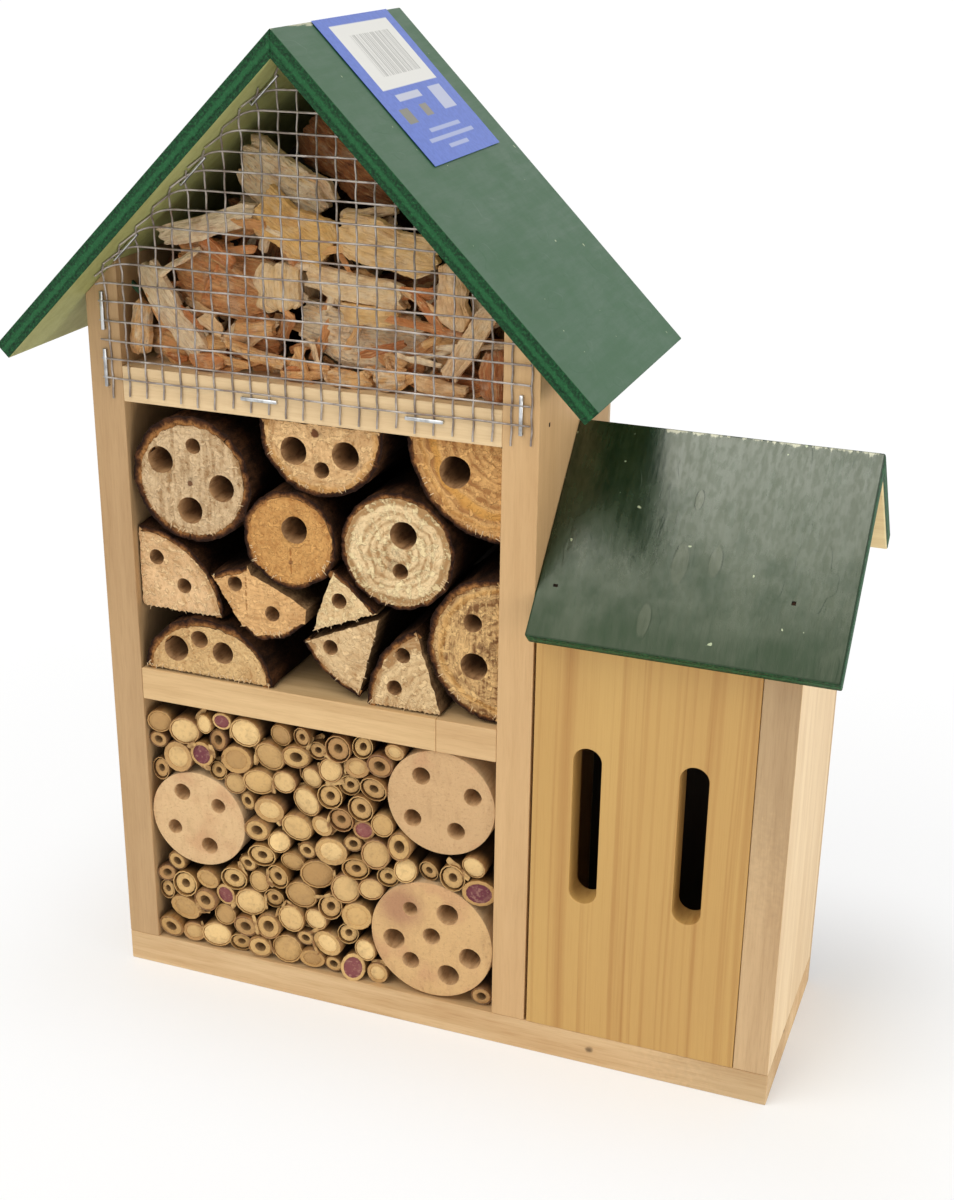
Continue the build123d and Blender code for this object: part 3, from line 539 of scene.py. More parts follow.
# Painted shade: a broad darker patch on the right board's front, high up under the small roof's eave.
EAVE_SHADE_SPOTS = (((0.128, FRONT, 0.14), 0.076, 0.27),)
for node_name, run, pale, dark, lines, slide in BOARDS:
    spots = BASE_SPOTS if node_name == "base_board" else ()
    woods = [planed_wood(node_name + "_wood", pale, dark, run, lines, slide, spots)]
    slot = "poplar"
    # The right board's front faces get a darker copy of its wood than its paler side: partly the sawn edge's
    # own colour, partly painted shade on the front and painted light on the side.
    if node_name == "right_board":
        edge_and_shade_tones = (0.68, 0.475, 0.26), (0.455, 0.29, 0.145)
        woods.append(planed_wood("right_edge_wood", *edge_and_shade_tones, run, 0.4, slide, EAVE_SHADE_SPOTS))
    if "panel" in node_name:
        slot = "back_ply"
        # Their inner faces get a nearly black copy of the wood: painted shade for the unlit inside of the
        # house.
        painted_shade_tones = (0.035, 0.023, 0.012), (0.02, 0.012, 0.006)
        woods.append(planed_wood(node_name + "_inside", *painted_shade_tones, run, 0.4, slide))
    shape = eased(node_name, 0.0004, 0.003)
    if len(woods) > 1:
        for face in shape.faces:
            face.material_index = 1 if face.normal.y < -0.8 else 0
    finish_piece(shape, node_name + "_planed", woods, [node_name], FLAT_CREASE)

panel_pine = pine("panel_pine", (0.575, 0.355, 0.112), (0.385, 0.182, 0.044))
shape = eased("front_panel", 0.0003)
finish_piece(shape, "front_panel_pine", [panel_pine], ["front_panel"], FLAT_CREASE)

# Roof sheets: painted above and on the edges, bare plywood below
MAIN_GREENS = (0.025, 0.091, 0.043), (0.045, 0.112, 0.06)
SMALL_GREENS = (0.003, 0.018, 0.007), (0.012, 0.036, 0.015)
MAIN_RIDGE = 0.342
SMALL_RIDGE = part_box("small_roof_front")[1].z
SMALL_PITCH = radians(47)
# Lifted varnish on the small roof: place and size
BLISTERS = (
    ((0.0787, -0.0269, 0.1858), 0.0027),
    ((0.0896, -0.0253, 0.1875), 0.0021),
    ((0.0716, -0.0405, 0.1711), 0.0022),
    ((0.0803, -0.0116, 0.2021), 0.0014),
)
main_paint = roof_paint("main_paint", *MAIN_GREENS, "y", 0.34, 0.5, 0.05, MAIN_RIDGE, 0.1)
small_paint = roof_paint(
    "small_paint", *SMALL_GREENS, "yz", 0.14, 0.42, 0.2, SMALL_RIDGE, 0.058, 1.0, BLISTERS,
)
# The same bare plywood in two tones: darker and greener under the main roof as painted shade, paler under the
# small roof as painted light.
main_ply_shaded = planed_wood("main_ply_shaded", (0.42, 0.44, 0.18), (0.29, 0.3, 0.1), "x", 0.5, 7.7)
small_ply_lit = planed_wood("small_ply_lit", (0.84, 0.74, 0.46), (0.66, 0.54, 0.3), "x", 0.5, 8.8)
ROOFS = (
    ("main_roof_left", (-SLOPE, 0, SLOPE), main_paint, main_ply_shaded),
    ("main_roof_right", (SLOPE, 0, SLOPE), main_paint, main_ply_shaded),
    ("small_roof_front", (0, -sin(SMALL_PITCH), cos(SMALL_PITCH)), small_paint, small_ply_lit),
    ("small_roof_back", (0, sin(SMALL_PITCH), cos(SMALL_PITCH)), small_paint, small_ply_lit),
)
for node_name, outward, paint, ply in ROOFS:
    shape = eased(node_name, 0.0006, 0.003)
    out = Vector(outward)
    middle = max(v.co.dot(out) for v in shape.verts) - SHEET / 2
    for face in shape.faces:
        lie = face.normal.dot(out)
        face.material_index = 0 if lie > 0.6 else 2 if lie < -0.9 else 1
    edge = painted_edge(node_name + "_edge", outward, middle)
    finish_piece(shape, node_name + "_painted", [paint, edge, ply], [node_name], FLAT_CREASE)


# Logs of the middle bay, in millimetres: the pith and radii, the bark's arc in degrees, the corners
# of the split sides, the holes as a place and a width, where the end stands, the end's two colours,
# the lean and strength of the saw strokes, the strength of the year rings, how thick the bark is, and
# a crack as its place across and its ends.
# A log with no radius has its outline as corners, and the numbers of the edges that bark covers.
LOGS = (
    ("log_round_left", (-86.6, 195.3), (22.1, 22.2), (0, 360), (),
     ((-97.9, 200.9, 9.4), (-85.3, 207.1, 5.5), (-75.3, 193.5, 9.4), (-87.5, 184.3, 9.4)),
     -37.0, (0.69, 0.5, 0.295), (0.32, 0.18, 0.075), -0.55, 1.0, 0.1, 2.9, None),
    ("log_half_top", (-39.3, 216.6), (22.1, 21.9), (172, 368), (),
     ((-49.0, 209.6, 9.4), (-30.6, 210.0, 9.4), (-39.1, 204.2, 5.5)),
     -36.0, (0.79, 0.51, 0.25), (0.4, 0.21, 0.078), 0.3, 0.4, 0.22, 2.0, None),
    ("log_quarter_top", (22.9, 219.6), (32.7, 33.0), (180, 270), ((22.9, 219.6),),
     ((6.6, 209.0, 10.6),),
     -35.0, (0.72, 0.41, 0.15), (0.34, 0.15, 0.045), 0.2, 0.2, 0.6, 2.0, None),
    ("log_round_small", (-51.0, 178.7), (17.2, 17.2), (0, 360), (),
     ((-49.0, 182.7, 9.4),),
     -37.0, (0.64, 0.34, 0.11), (0.36, 0.15, 0.036), 1.2, 0.2, 0.12, 1.8, (-50.6, 165.8, 176.0)),
    ("log_round_middle", (-12.8, 179.6), (20.3, 20.4), (0, 360), (),
     ((-10.5, 185.7, 9.4), (-11.6, 173.1, 5.5)),
     -36.0, (0.84, 0.63, 0.36), (0.4, 0.23, 0.095), 0.9, 0.1, 0.7, 1.7, None),
    ("log_quarter_left", (-109.4, 145.5), (31.7, 30.3), (0, 90), ((-109.4, 145.5),),
     ((-102.7, 164.7, 5.5), (-92.5, 155.5, 5.5)),
     -35.0, (0.82, 0.54, 0.29), (0.48, 0.27, 0.115), 0.1, 0.3, 0.1, 1.8, None),
    ("log_slab", (-62.0, 190.0), (0, 0), (0, 5, 6, 7),
     ((-81.3, 162.6), (-66.9, 167.6), (-65.2, 164.7), (-53.9, 159.7), (-44.8, 155.0), (-45.9, 148.4),
      (-53.9, 142.4), (-64.9, 140.3), (-69.8, 144.3)),
     ((-71.8, 160.3, 5.5), (-58.1, 151.3, 5.5)),
     -37.0, (0.77, 0.46, 0.2), (0.4, 0.195, 0.066), 0.5, 0.3, 0.1, 1.8, (-67.7, 150.6, 165.0)),
    ("log_wedge", (-43.0, 150.0), (0, 0), (2, 3, 4),
     ((-43.6, 146.6), (-40.6, 157.9), (-35.3, 170.3), (-30.0, 166.5), (-24.2, 161.2), (-19.8, 156.6)),
     ((-33.7, 159.3, 5.5),),
     -36.0, (0.82, 0.6, 0.33), (0.47, 0.28, 0.12), 0.4, 0.3, 0.08, 1.7, None),
    ("log_quarter_low", (-19.2, 155.0), (31.4, 31.4), (204, 255), ((-19.2, 155.0),),
     ((-37.7, 141.4, 5.5),),
     -35.0, (0.74, 0.53, 0.29), (0.4, 0.22, 0.09), 0.9, 0.4, 0.1, 1.7, None),
    ("log_half_shelf", (-83.7, 123.4), (24.9, 21.7), (0, 180), (),
     ((-95.9, 132.4, 9.4), (-86.5, 137.2, 6.4), (-77.6, 133.5, 8.0)),
     -37.0, (0.7, 0.47, 0.22), (0.4, 0.2, 0.068), 0.2, 0.2, 0.15, 2.4, None),
    ("log_quarter_shelf", (3.3, 123.4), (27.7, 32.0), (110, 180), ((3.3, 123.4),),
     ((-10.9, 143.3, 5.5), (-14.0, 131.0, 5.5)),
     -36.0, (0.76, 0.55, 0.3), (0.38, 0.21, 0.085), 0.3, 0.3, 0.35, 1.9, None),
    ("log_half_right", (22.9, 149.4), (25.7, 25.9), (90, 270), (),
     ((13.3, 158.5, 6.4), (13.9, 143.1, 9.4)),
     -35.0, (0.77, 0.49, 0.21), (0.2, 0.09, 0.03), 0.15, 0.8, 0.4, 2.1, None),
)
# Knots and shallow drill marks on the ends: place in millimetres, size and darkness
MARKS = {
    "log_half_top": ((-41.2, 216.4, 1.5, 1.0), (-28.2, 208.6, 3.4, 0.5)),
    "log_round_middle": ((-14.0, 174.9, 2.4, 0.4),),
    "log_round_left": ((-87.0, 193.9, 1.0, 0.9),),
    "log_round_small": ((-50.6, 171.0, 0.9, 0.6),),
    "log_half_right": ((16.5, 150.5, 1.6, 0.6),),
}
# Golden year rings on the ends: radius, width and strength
BANDS = {
    "log_quarter_top": ((23.4, 2.0, 0.75), (28.0, 1.2, 0.25)),
    "log_half_right": ((20.6, 1.6, 0.35),),
    "log_half_top": ((19.0, 1.4, 0.3),),
}
# In millimetres too
LOG_BACK = 37.7
DRILL_DEPTH = 42.0
OUTLINE_STEP = 0.9
hole_wall = drilled("hole_wall", (0.44, 0.25, 0.11), (0.22, 0.11, 0.042))
disc_hole = drilled("disc_hole", (0.6, 0.38, 0.19), (0.4, 0.23, 0.1))
bark_outside = rough_bark("bark_outside", (0.014, 0.006, 0.003), (0.11, 0.045, 0.018))
bark_section = bark_rim("bark_section")
# The split sides are painted dark brown as painted shade between the logs, and darker still towards the back.
split_side_shaded = rough_bark("split_side_shaded", (0.1, 0.05, 0.022), (0.3, 0.18, 0.085), 1.5, 0.1)


def log_outline(centre, radii, arc, corners):
    """Closely spaced points round a log's end, each with whether bark covers it there."""
    points = []
    ends = [(*corner, False) for corner in corners]
    if radii[0]:
        sweep = arc[1] - arc[0]
        steps = round(radians(sweep) * radii[0] / OUTLINE_STEP)
        for step in range(steps if sweep == 360 else steps + 1):
            turn = radians(arc[0] + sweep * step / steps)
            points.append((centre[0] + radii[0] * cos(turn), centre[1] + radii[1] * sin(turn), True))
        ends = [] if sweep == 360 else [points[-1], *ends, points[0]]
    else:
        ends.append(ends[0])
    for number, (here, there) in enumerate(zip(ends, ends[1:])):
        steps = max(round(hypot(there[0] - here[0], there[1] - here[1]) / OUTLINE_STEP), 1)
        bark = not radii[0] and number in arc
        for step in range(1 if radii[0] else 0, steps):
            share = step / steps
            x, z = (a + (b - a) * share for a, b in zip(here[:2], there[:2]))
            points.append((x, z, bark))
    return points


def inward(points, number):
    """The direction from an outline point into the log."""
    before, after = points[number - 1], points[(number + 1) % len(points)]
    run = Vector((after[0] - before[0], after[1] - before[1])).normalized()
    return Vector((-run.y, run.x))


def closed_loop(shape, points, y):
    """A closed loop of edges through points in millimetres."""
    verts = [shape.verts.new((x * MM, y * MM, z * MM)) for x, z in points]
    return [shape.edges.new(pair) for pair in zip(verts, verts[1:] + verts[:1])]


def extruded(shape, edges, distance, material):
    """Walls from a loop of edges along Y, and the loop at their far end."""
    made = bmesh.ops.extrude_edge_only(shape, edges=edges)["geom"]
    verts = [g for g in made if isinstance(g, bmesh.types.BMVert)]
    bmesh.ops.translate(shape, verts=verts, vec=(0, distance * MM, 0))
    for face in made:
        if isinstance(face, bmesh.types.BMFace):
            face.material_index = material
    return [g for g in made if isinstance(g, bmesh.types.BMEdge) and all(v in verts for v in g.verts)]


def drilled_block(shape, outline, holes, y):
    """A block with a flat end towards the front, down to the logs' back, and blind holes in it."""
    rim = closed_loop(shape, outline, y)
    mouths = []
    sides = 20
    for x, z, width in holes:
        mouth = []
        for number in range(sides):
            turn = 2 * pi * number / sides
            wander = 1 + 0.06 * lumps(x + cos(turn), z + sin(turn), 3.0)
            mouth.append((x + width / 2 * wander * cos(turn), z + width / 2 * wander * sin(turn)))
        mouths.append(closed_loop(shape, mouth, y))
    lips = rim + [edge for mouth in mouths for edge in mouth]
    bmesh.ops.triangle_fill(shape, use_beauty=True, use_dissolve=False, edges=lips, normal=(0, -1, 0))
    for loop, depth, material in ((rim, LOG_BACK - y, 1), *((mouth, DRILL_DEPTH, 2) for mouth in mouths)):
        bmesh.ops.edgeloop_fill(shape, edges=extruded(shape, loop, depth, material), mat_nr=material)
    face_out(shape)
    ease(shape, lips, 0.00035)


def bark_shell(shape, run, closed, y, thick):
    """Bark along a run of outline points: rough outside, torn at the front, with a thickness."""
    rows = (0.0, 1.2, 3.0, 6.0, 12.0, 24.0, 44.0, LOG_BACK - y)
    around = len(run) if closed else len(run) - 1
    tone = layer(shape.verts.layers.float, "tone")
    grid = bmesh.ops.create_grid(shape, x_segments=around, y_segments=len(rows) - 1, size=1)["verts"]
    for vert in grid:
        column = round((vert.co.x + 1) / 2 * around)
        row = round((vert.co.y + 1) / 2 * (len(rows) - 1))
        x, z, into = run[column % len(run)]
        ridge = lumps(x * 0.22, rows[row] * 0.08, z * 0.22) + 0.5 * lumps(x * 0.8, rows[row] * 0.3, z * 0.8)
        sink = 0.3 + 0.7 * ridge
        torn = 0 if row else max(0.16, 0.5 * lumps(x * 0.8, 4.0, z * 0.8) + 0.35)
        vert.co = Vector((x + into.x * sink, y + rows[row] + torn, z + into.y * sink)) * MM
    if closed:
        bmesh.ops.remove_doubles(shape, verts=grid, dist=1e-6)
        grid = [vert for vert in grid if vert.is_valid]
    faces = list(dict.fromkeys(face for vert in grid for face in vert.link_faces))
    bmesh.ops.reverse_faces(shape, faces=faces)
    before = set(shape.verts)
    bmesh.ops.solidify(shape, geom=faces, thickness=thick * MM)
    for vert in shape.verts:
        if vert not in before:
            vert[tone] = 1.0
            vert.co.y = max(vert.co.y, (y + 0.2) * MM)
    for face in shape.faces:
        if abs(face.normal.y) > 0.7:
            face.material_index = 1


rims = []
for name, centre, radii, arc, corners, holes, y, pale, dark, lean, strokes, years, thick, crack in LOGS:
    points = log_outline(centre, radii, arc, corners)
    area = sum(a[0] * b[1] - b[0] * a[1] for a, b in zip(points, points[1:] + points[:1]))
    if area < 0:
        points.reverse()
    core, run, runs = [], [], []
    for number, (x, z, bark) in enumerate(points):
        into = inward(points, number)
        wander = lumps(x * 0.3, 1.0, z * 0.3) + 0.7 * lumps(x * 0.9, 1.0, z * 0.9)
        above = max(0.0, into.x * 0.6 - into.y * 0.8)
        ragged = 0.35 * max(0.0, into.y) * (number % 2)
        depth = thick * (0.9 + 0.4 * above) + 0.5 * wander + ragged if bark else 0.3 + 0.4 * wander + ragged
        core.append((x + into.x * depth, z + into.y * depth))
        rims.append((*core[-1], into, y))
        if bark:
            run.append((x, z, into))
        elif run:
            runs.append(run)
            run = []
    if run:
        runs.append(run)
    shape = bmesh.new()
    drilled_block(shape, core, holes, y)
    marks, bands = MARKS.get(name, ()), BANDS.get(name, ())
    end = sawn_end(name + "_end", pale, dark, centre, radii[0], lean, strokes, years, crack, marks, bands)
    finish_piece(shape, name + "_wood", [end, split_side_shaded, hole_wall], [name])
    shape = bmesh.new()
    for run in runs:
        bark_shell(shape, run, bool(radii[0]) and arc[1] - arc[0] == 360, y, thick * 1.35 + 0.5)
    finish_piece(shape, name + "_bark", [bark_outside, bark_section], (), 60)

# Pale fibres that the saw left hanging from the lower edges of the log ends
frayed = Finish("frayed_fibre", 0.8)
frayed.wear(frayed.mix(frayed.noise(300), (0.82, 0.64, 0.4), (0.6, 0.4, 0.2)))
shape = bmesh.new()
for x, z, into, y in rims:
    if into.y < 0.25 or dice.random() > 0.3:
        continue
    reach = dice.uniform(0.0006, 0.0024)
    swing = Vector((-into.x + sway(0.6), 0, -into.y + sway(0.3))).normalized()
    root = Vector((x, y, z)) * MM + Vector((into.x, 0, into.y)) * 0.0012 + Vector((0, -0.0001, 0))
    cone = bmesh.ops.create_cone(
        shape, cap_ends=True, segments=4, radius1=0.0002, radius2=0.00006, depth=reach,
    )["verts"]
    turn = swing.to_track_quat("Z", "Y").to_matrix().to_4x4()
    bmesh.ops.transform(shape, matrix=Matrix.Translation(root + swing * reach / 2) @ turn, verts=cone)
finish_piece(shape, "frayed_fibres", [frayed], (), 60)

# Drilled discs of the lower bay, in millimetres: centre, radius, holes, colour, lean of the grain
DISC_FRONT = -36.8
DISCS = (
    ("disc_left", -90.7, 65.5, 18.7,
     ((-96.9, 75.4, 6.4), (-82.5, 72.4, 5.5), (-100.6, 60.4, 5.5), (-86.8, 55.3, 6.4)),
     (0.7, 0.47, 0.245), 0.2),
    ("disc_upper", 3.2, 91.0, 19.7,
     ((-4.0, 100.1, 6.4), (14.7, 95.5, 6.4), (-7.2, 83.3, 6.4), (8.8, 81.3, 6.4)),
     (0.61, 0.39, 0.195), 0.9),
    ("disc_lower", -0.1, 35.8, 22.9,
     ((-8.1, 46.6, 5.5), (5.9, 47.5, 8.0), (-14.3, 33.0, 8.0), (-0.1, 37.2, 6.4), (-7.9, 25.5, 6.4),
      (14.4, 31.4, 8.0), (6.4, 22.7, 8.0)),
     (0.66, 0.42, 0.19), -0.5),
)
DISC_SIDES = 72
BRUISE = (-0.012, -0.0368, 0.047)
disc_side = planed_wood("disc_side", (0.6, 0.42, 0.24), (0.4, 0.25, 0.12), "y", 0.5, 11)
for name, x, z, radius, holes, pale, turn in DISCS:
    outline = []
    for number in range(DISC_SIDES):
        angle = 2 * pi * number / DISC_SIDES
        outline.append((x + radius * cos(angle), z + radius * sin(angle)))
    shape = bmesh.new()
    drilled_block(shape, outline, holes, DISC_FRONT)
    cut = Finish(name + "_face", 0.75)
    grain = cut.noise(420, roughness=0.6, where=cut.leaning(turn, (1, 0.3, 0.35)))
    pores = cut.noise(900, detail=2, roughness=0.7)
    blush = cut.noise(60, detail=2, shift=(turn, 0, 0))
    tint = cut.mix(blush.rise(0.5, 0.66) * 0.6, pale, (0.56, 0.3, 0.15))
    tint = cut.mix(grain.rise(0.5, 0.7) * 0.2 + pores.rise(0.54, 0.7) * 0.3, tint, (0.38, 0.2, 0.085))
    bruise = (cut.away_from(BRUISE) + (pores - 0.5) * 0.006).fall(0.003, 0.012)
    cut.wear(cut.mix(bruise * 0.62, tint, (0.3, 0.11, 0.07)), grain + pores, 0.0005)
    finish_piece(shape, name + "_cut", [cut, disc_side, disc_hole], [name])

# Canes: each CAD cane becomes a turned profile of sheath, wall and pith, a little oval and tilted
WALL_TONES = (0, (0.5, 0.29, 0.1)), (0.5, (0.64, 0.41, 0.16)), (1, (0.4, 0.21, 0.075))
PITH_TONES = (
    (0, (0.42, 0.24, 0.085)), (0.3, (0.62, 0.39, 0.15)), (0.6, (0.84, 0.59, 0.27)), (1, (0.5, 0.3, 0.11)),
)
PURPLE_TONES = (0, (0.13, 0.02, 0.035)), (1, (0.28, 0.085, 0.075))
cane_wall = cut_cane("cane_wall", WALL_TONES)
cane_pith = cut_cane("cane_pith", PITH_TONES, 700, 0.22)
purple_pith = cut_cane("purple_pith", PURPLE_TONES, 700, 0.5, (0.45, 0.25, 0.18))
sheath = cane_side("cane_sheath")
bore_wall = drilled("cane_bore", (0.32, 0.19, 0.075), (0.18, 0.1, 0.04))
CANE_DEPTH = 74
# Each profile is a run of (share of the radius, depth in mm, material of the band before it)
PROFILES = {
    "hollow_canes": ((1, 0.25, 0), (0.94, 0, 0), (0.88, 0.15, 0), (0.86, 0.4, 0), (0.82, 0.05, 1),
                     (0.5, -0.05, 1), (0.43, 0.3, 1), (0.4, 14, 3)),
    "loose_canes": ((1, 0, 0), (0.93, -0.1, 1), (0.91, 3.2, 0), (0.8, 3.2, 0), (0.8, 0.6, 0),
                    (0.75, 0.4, 1), (0.4, 0.4, 1), (0.34, 0.7, 1), (0.32, 14, 3)),
    "pith_canes": ((1, 0.35, 0), (0.95, 0.05, 0), (0.88, 0.05, 1), (0.85, 0.4, 0), (0.79, 0, 2),
                   (0.45, -0.3, 2)),
    "ringed_pith": ((1, 0.3, 0), (0.95, 0, 0), (0.9, 0.05, 1), (0.7, 0, 1), (0.67, 0.25, 1), (0.61, 0.05, 2),
                    (0.35, -0.2, 2)),
    "purple_canes": ((1, 0.25, 0), (0.93, 0, 1), (0.76, 0.1, 1), (0.72, 0.5, 2), (0.4, 0.35, 2)),
}
# The profile that nearly half of the canes of a kind have instead
SECOND_FORM = {"hollow_canes": "loose_canes", "pith_canes": "ringed_pith"}


def lathe(profile, sides):
    """A closed turned form of unit radius, with each band's material."""
    shape = bmesh.new()
    stations = [(0, CANE_DEPTH, 0), (1, CANE_DEPTH, 0), *profile, (0, *profile[-1][1:])]
    for (r0, y0, _), (r1, y1, material) in zip(stations, stations[1:]):
        band = bmesh.new()
        ends = [band.verts.new((r, y * MM, 0)) for r, y in ((r0, y0), (r1, y1))]
        edge = band.edges.new(ends)
        bmesh.ops.spin(
            band, geom=ends + [edge], cent=(0, 0, 0), axis=(0, 1, 0), dvec=(0, 0, 0), angle=2 * pi,
            steps=sides, use_merge=True, use_duplicate=False,
        )
        for face in band.faces:
            face.material_index = material
        mesh = bpy.data.meshes.new("band")
        band.to_mesh(mesh)
        band.free()
        shape.from_mesh(mesh)
        bpy.data.meshes.remove(mesh)
    bmesh.ops.remove_doubles(shape, verts=shape.verts, dist=1e-5)
    face_out(shape)
    mesh = bpy.data.meshes.new("turned")
    shape.to_mesh(mesh)
    shape.free()
    return mesh


turned = {kind: lathe(profile, 14) for kind, profile in PROFILES.items()}


def place_copies(kind, circles):
    """One bmesh with a turned cane at each circle."""
    shape = bmesh.new()
    tone = layer(shape.verts.layers.float, "tone")
    for x, z, radius, y in circles:
        form = SECOND_FORM[kind] if kind in SECOND_FORM and dice.random() < 0.45 else kind
        before = len(shape.verts)
        shape.from_mesh(turned[form])
        shape.verts.ensure_lookup_table()
        new = shape.verts[before:]
        squeeze = sway(0.1)
        oval = Matrix.Diagonal((radius * (1.04 + squeeze), 1, radius * (1.04 - squeeze), 1))
        spin = Matrix.Rotation(dice.uniform(0, 2 * pi), 4, "Y")
        front = Matrix.Translation((x, (y + FRONT + 0.0008) / 2, z))
        skew = Matrix.Identity(4)
        skew[1][0] = sway(0.2)
        skew[1][2] = sway(0.2)
        bmesh.ops.transform(shape, matrix=front @ skew @ oval @ spin, verts=new)
        level = dice.random()
        for vert in new:
            vert[tone] = level
    return shape


cane_ends = []
for kind, slot in (("hollow_canes", "cane"), ("pith_canes", "pith"), ("purple_canes", "purple_pith")):
    circles = []
    for low, high in map(extent, islands(kind)):
        radius = max(high[0] - low[0], high[2] - low[2]) / 2
        circles.append(((low[0] + high[0]) / 2, (low[2] + high[2]) / 2, radius, low[1]))
    circles.sort()
    cane_ends += circles
    pith = purple_pith if kind == "purple_canes" else cane_pith
    shape = place_copies(kind, circles)
    finish_piece(shape, kind + "_cut", [sheath, cane_wall, pith, bore_wall], [kind], 50)

# Chips: each CAD chip becomes a torn, warped flake in its place
CHIP_TONES = (
    (0, (0.79, 0.47, 0.16)), (0.2, (0.88, 0.71, 0.48)), (0.42, (0.78, 0.43, 0.165)),
    (0.6, (0.72, 0.33, 0.125)), (0.8, (0.6, 0.21, 0.07)), (1, (0.16, 0.05, 0.025)),
)
bark_flake = chip_wood("bark_flake", CHIP_TONES, (0.16, 0.06, 0.03), 0.8)
wood_flake = chip_wood("wood_flake", CHIP_TONES, (0.42, 0.19, 0.06), 0.25)


def knots(seed):
    """Half widths along a flake, over -1 to 1, for an angular edge."""
    low, high = 0.68, 1.12
    steps = [-1.0, -0.72 + 0.2 * lumps(seed, 1, 0), -0.2, 0.3 + 0.3 * lumps(seed, 2, 0), 0.75, 1.0]
    levels = [low + (high - low) * (0.5 + lumps(seed * 1.7, number * 2.3, 5.0)) for number in range(6)]
    levels[0] *= 0.8
    levels[-1] *= 0.72

    def level(u):
        for left, right, first, last in zip(steps, steps[1:], levels, levels[1:]):
            if u <= right:
                return first + (last - first) * (u - left) / (right - left)

    return level


def flake(shape, place, length, width, thick, turn, level, seed, bend, lean=(0.0, 0.0), cell=0.0017):
    """A torn slab, arched by its bend: its length and fibres lie along X before it leans and turns."""
    tone = layer(shape.verts.layers.float, "tone")
    uv = layer(shape.loops.layers.uv, "fibres")
    before = set(shape.faces)
    long, wide = max(round(length / cell), 5), max(round(width / cell), 3)
    grid = bmesh.ops.create_grid(shape, x_segments=long, y_segments=wide, size=1)["verts"]
    faces = [face for face in shape.faces if face not in before]
    for face in faces:
        for loop in face.loops:
            loop[uv].uv = (loop.vert.co.x * length * 60 + seed, loop.vert.co.y * width * 60)
    upper, lower = knots(seed), knots(seed + 31)
    slants = lumps(seed, 0.3, 8.1) * 1.6, lumps(seed, 0.7, 2.1) * 1.6
    for vert in grid:
        u, v = vert.co.x, vert.co.y
        slant = slants[0 if u < 0 else 1]
        end = lumps(v * width * 160, seed + 9.0, 0.0) + v * slant * width / length * abs(u)
        end += 0.3 * lumps(v * width * 700, seed + 5.0, u)
        ragged = 1 + 0.05 * lumps(u * length * 420, seed, v)
        half = (upper(u) if v > 0 else lower(u)) * ragged
        step = floor(4 * lumps(u * length * 45, v * width * 110, seed)) / 4
        swell = step * 0.0012 + lumps(u * length * 160, v * width * 420, seed) * 0.0007
        swell += lumps(u * length * 90, v * width * 1300, seed + 3) * 0.0003
        arch = bend * (1 - u * u) - bend * 0.5 * v * v
        vert.co = Vector((u * length / 2 * (1 + 0.16 * end), -arch - swell, v * width / 2 * half))
    made = bmesh.ops.extrude_face_region(shape, geom=faces, use_keep_orig=True)["geom"]
    behind = [g for g in made if isinstance(g, bmesh.types.BMVert)]
    bmesh.ops.translate(shape, vec=(0, thick, 0), verts=behind)
    verts = grid + behind
    shift = sum((vert.co.y for vert in verts), 0.0) / len(verts)
    put = Matrix.Translation(place)
    for angle, axis in ((-turn, "Y"), (lean[0], "X"), (lean[1], "Z")):
        put = put @ Matrix.Rotation(angle, 4, axis)
    bmesh.ops.transform(shape, matrix=put @ Matrix.Translation((0, -shift, 0)), verts=verts)
    for vert in verts:
        vert[tone] = level


def chip_form(corners):
    """Centre, length, width, thickness and turn of a CAD chip."""
    middle = sum(corners, Vector()) / len(corners)
    xx = sum((c.x - middle.x) ** 2 for c in corners)
    zz = sum((c.z - middle.z) ** 2 for c in corners)
    xz = sum((c.x - middle.x) * (c.z - middle.z) for c in corners)
    turn = 0.5 * atan2(2 * xz, xx - zz)
    along = [(c.x - middle.x) * cos(turn) + (c.z - middle.z) * sin(turn) for c in corners]
    aside = [(c.z - middle.z) * cos(turn) - (c.x - middle.x) * sin(turn) for c in corners]
    depths = [c.y for c in corners]
    a, b = (max(along) + min(along)) / 2, (max(aside) + min(aside)) / 2
    x = middle.x + a * cos(turn) - b * sin(turn)
    z = middle.z + a * sin(turn) + b * cos(turn)
    place = Vector((x, (min(depths) + max(depths)) / 2, z))
    return place, max(along) - min(along), max(aside) - min(aside), max(depths) - min(depths), turn


for node_name, finish, slot, levels in (
    ("bark_plates", bark_flake, "bark", (0.78, 0.2, 0.62, 0.24)),
    ("pale_slabs", wood_flake, "split_wood", (0.0, 0.2, 0.06, 0.12, 0.34, 0.1, 0.04)),
    ("split_chips", wood_flake, "split_wood", (0.3, 0.26, 0.24, 0.3, 0.4, 0.9, 0.35)),
    ("small_chips", bark_flake, "bark", (0.5, 0.36, 0.7, 0.42)),
):
    shape = bmesh.new()
    forms = sorted((chip_form(c) for c in islands(node_name)), key=lambda form: -form[0].z)
    for number, (place, length, width, deep, turn) in enumerate(forms):
        level, seed = levels[number % len(levels)], number * 3.7 + 1
        thick = min(0.003, deep * 0.5)
        flake(shape, place, length, width * 1.12, thick, turn, level, seed, deep * 0.3, cell=0.0008)
    face_out(shape)
    finish_piece(shape, node_name + "_torn", [finish], [node_name], 38)

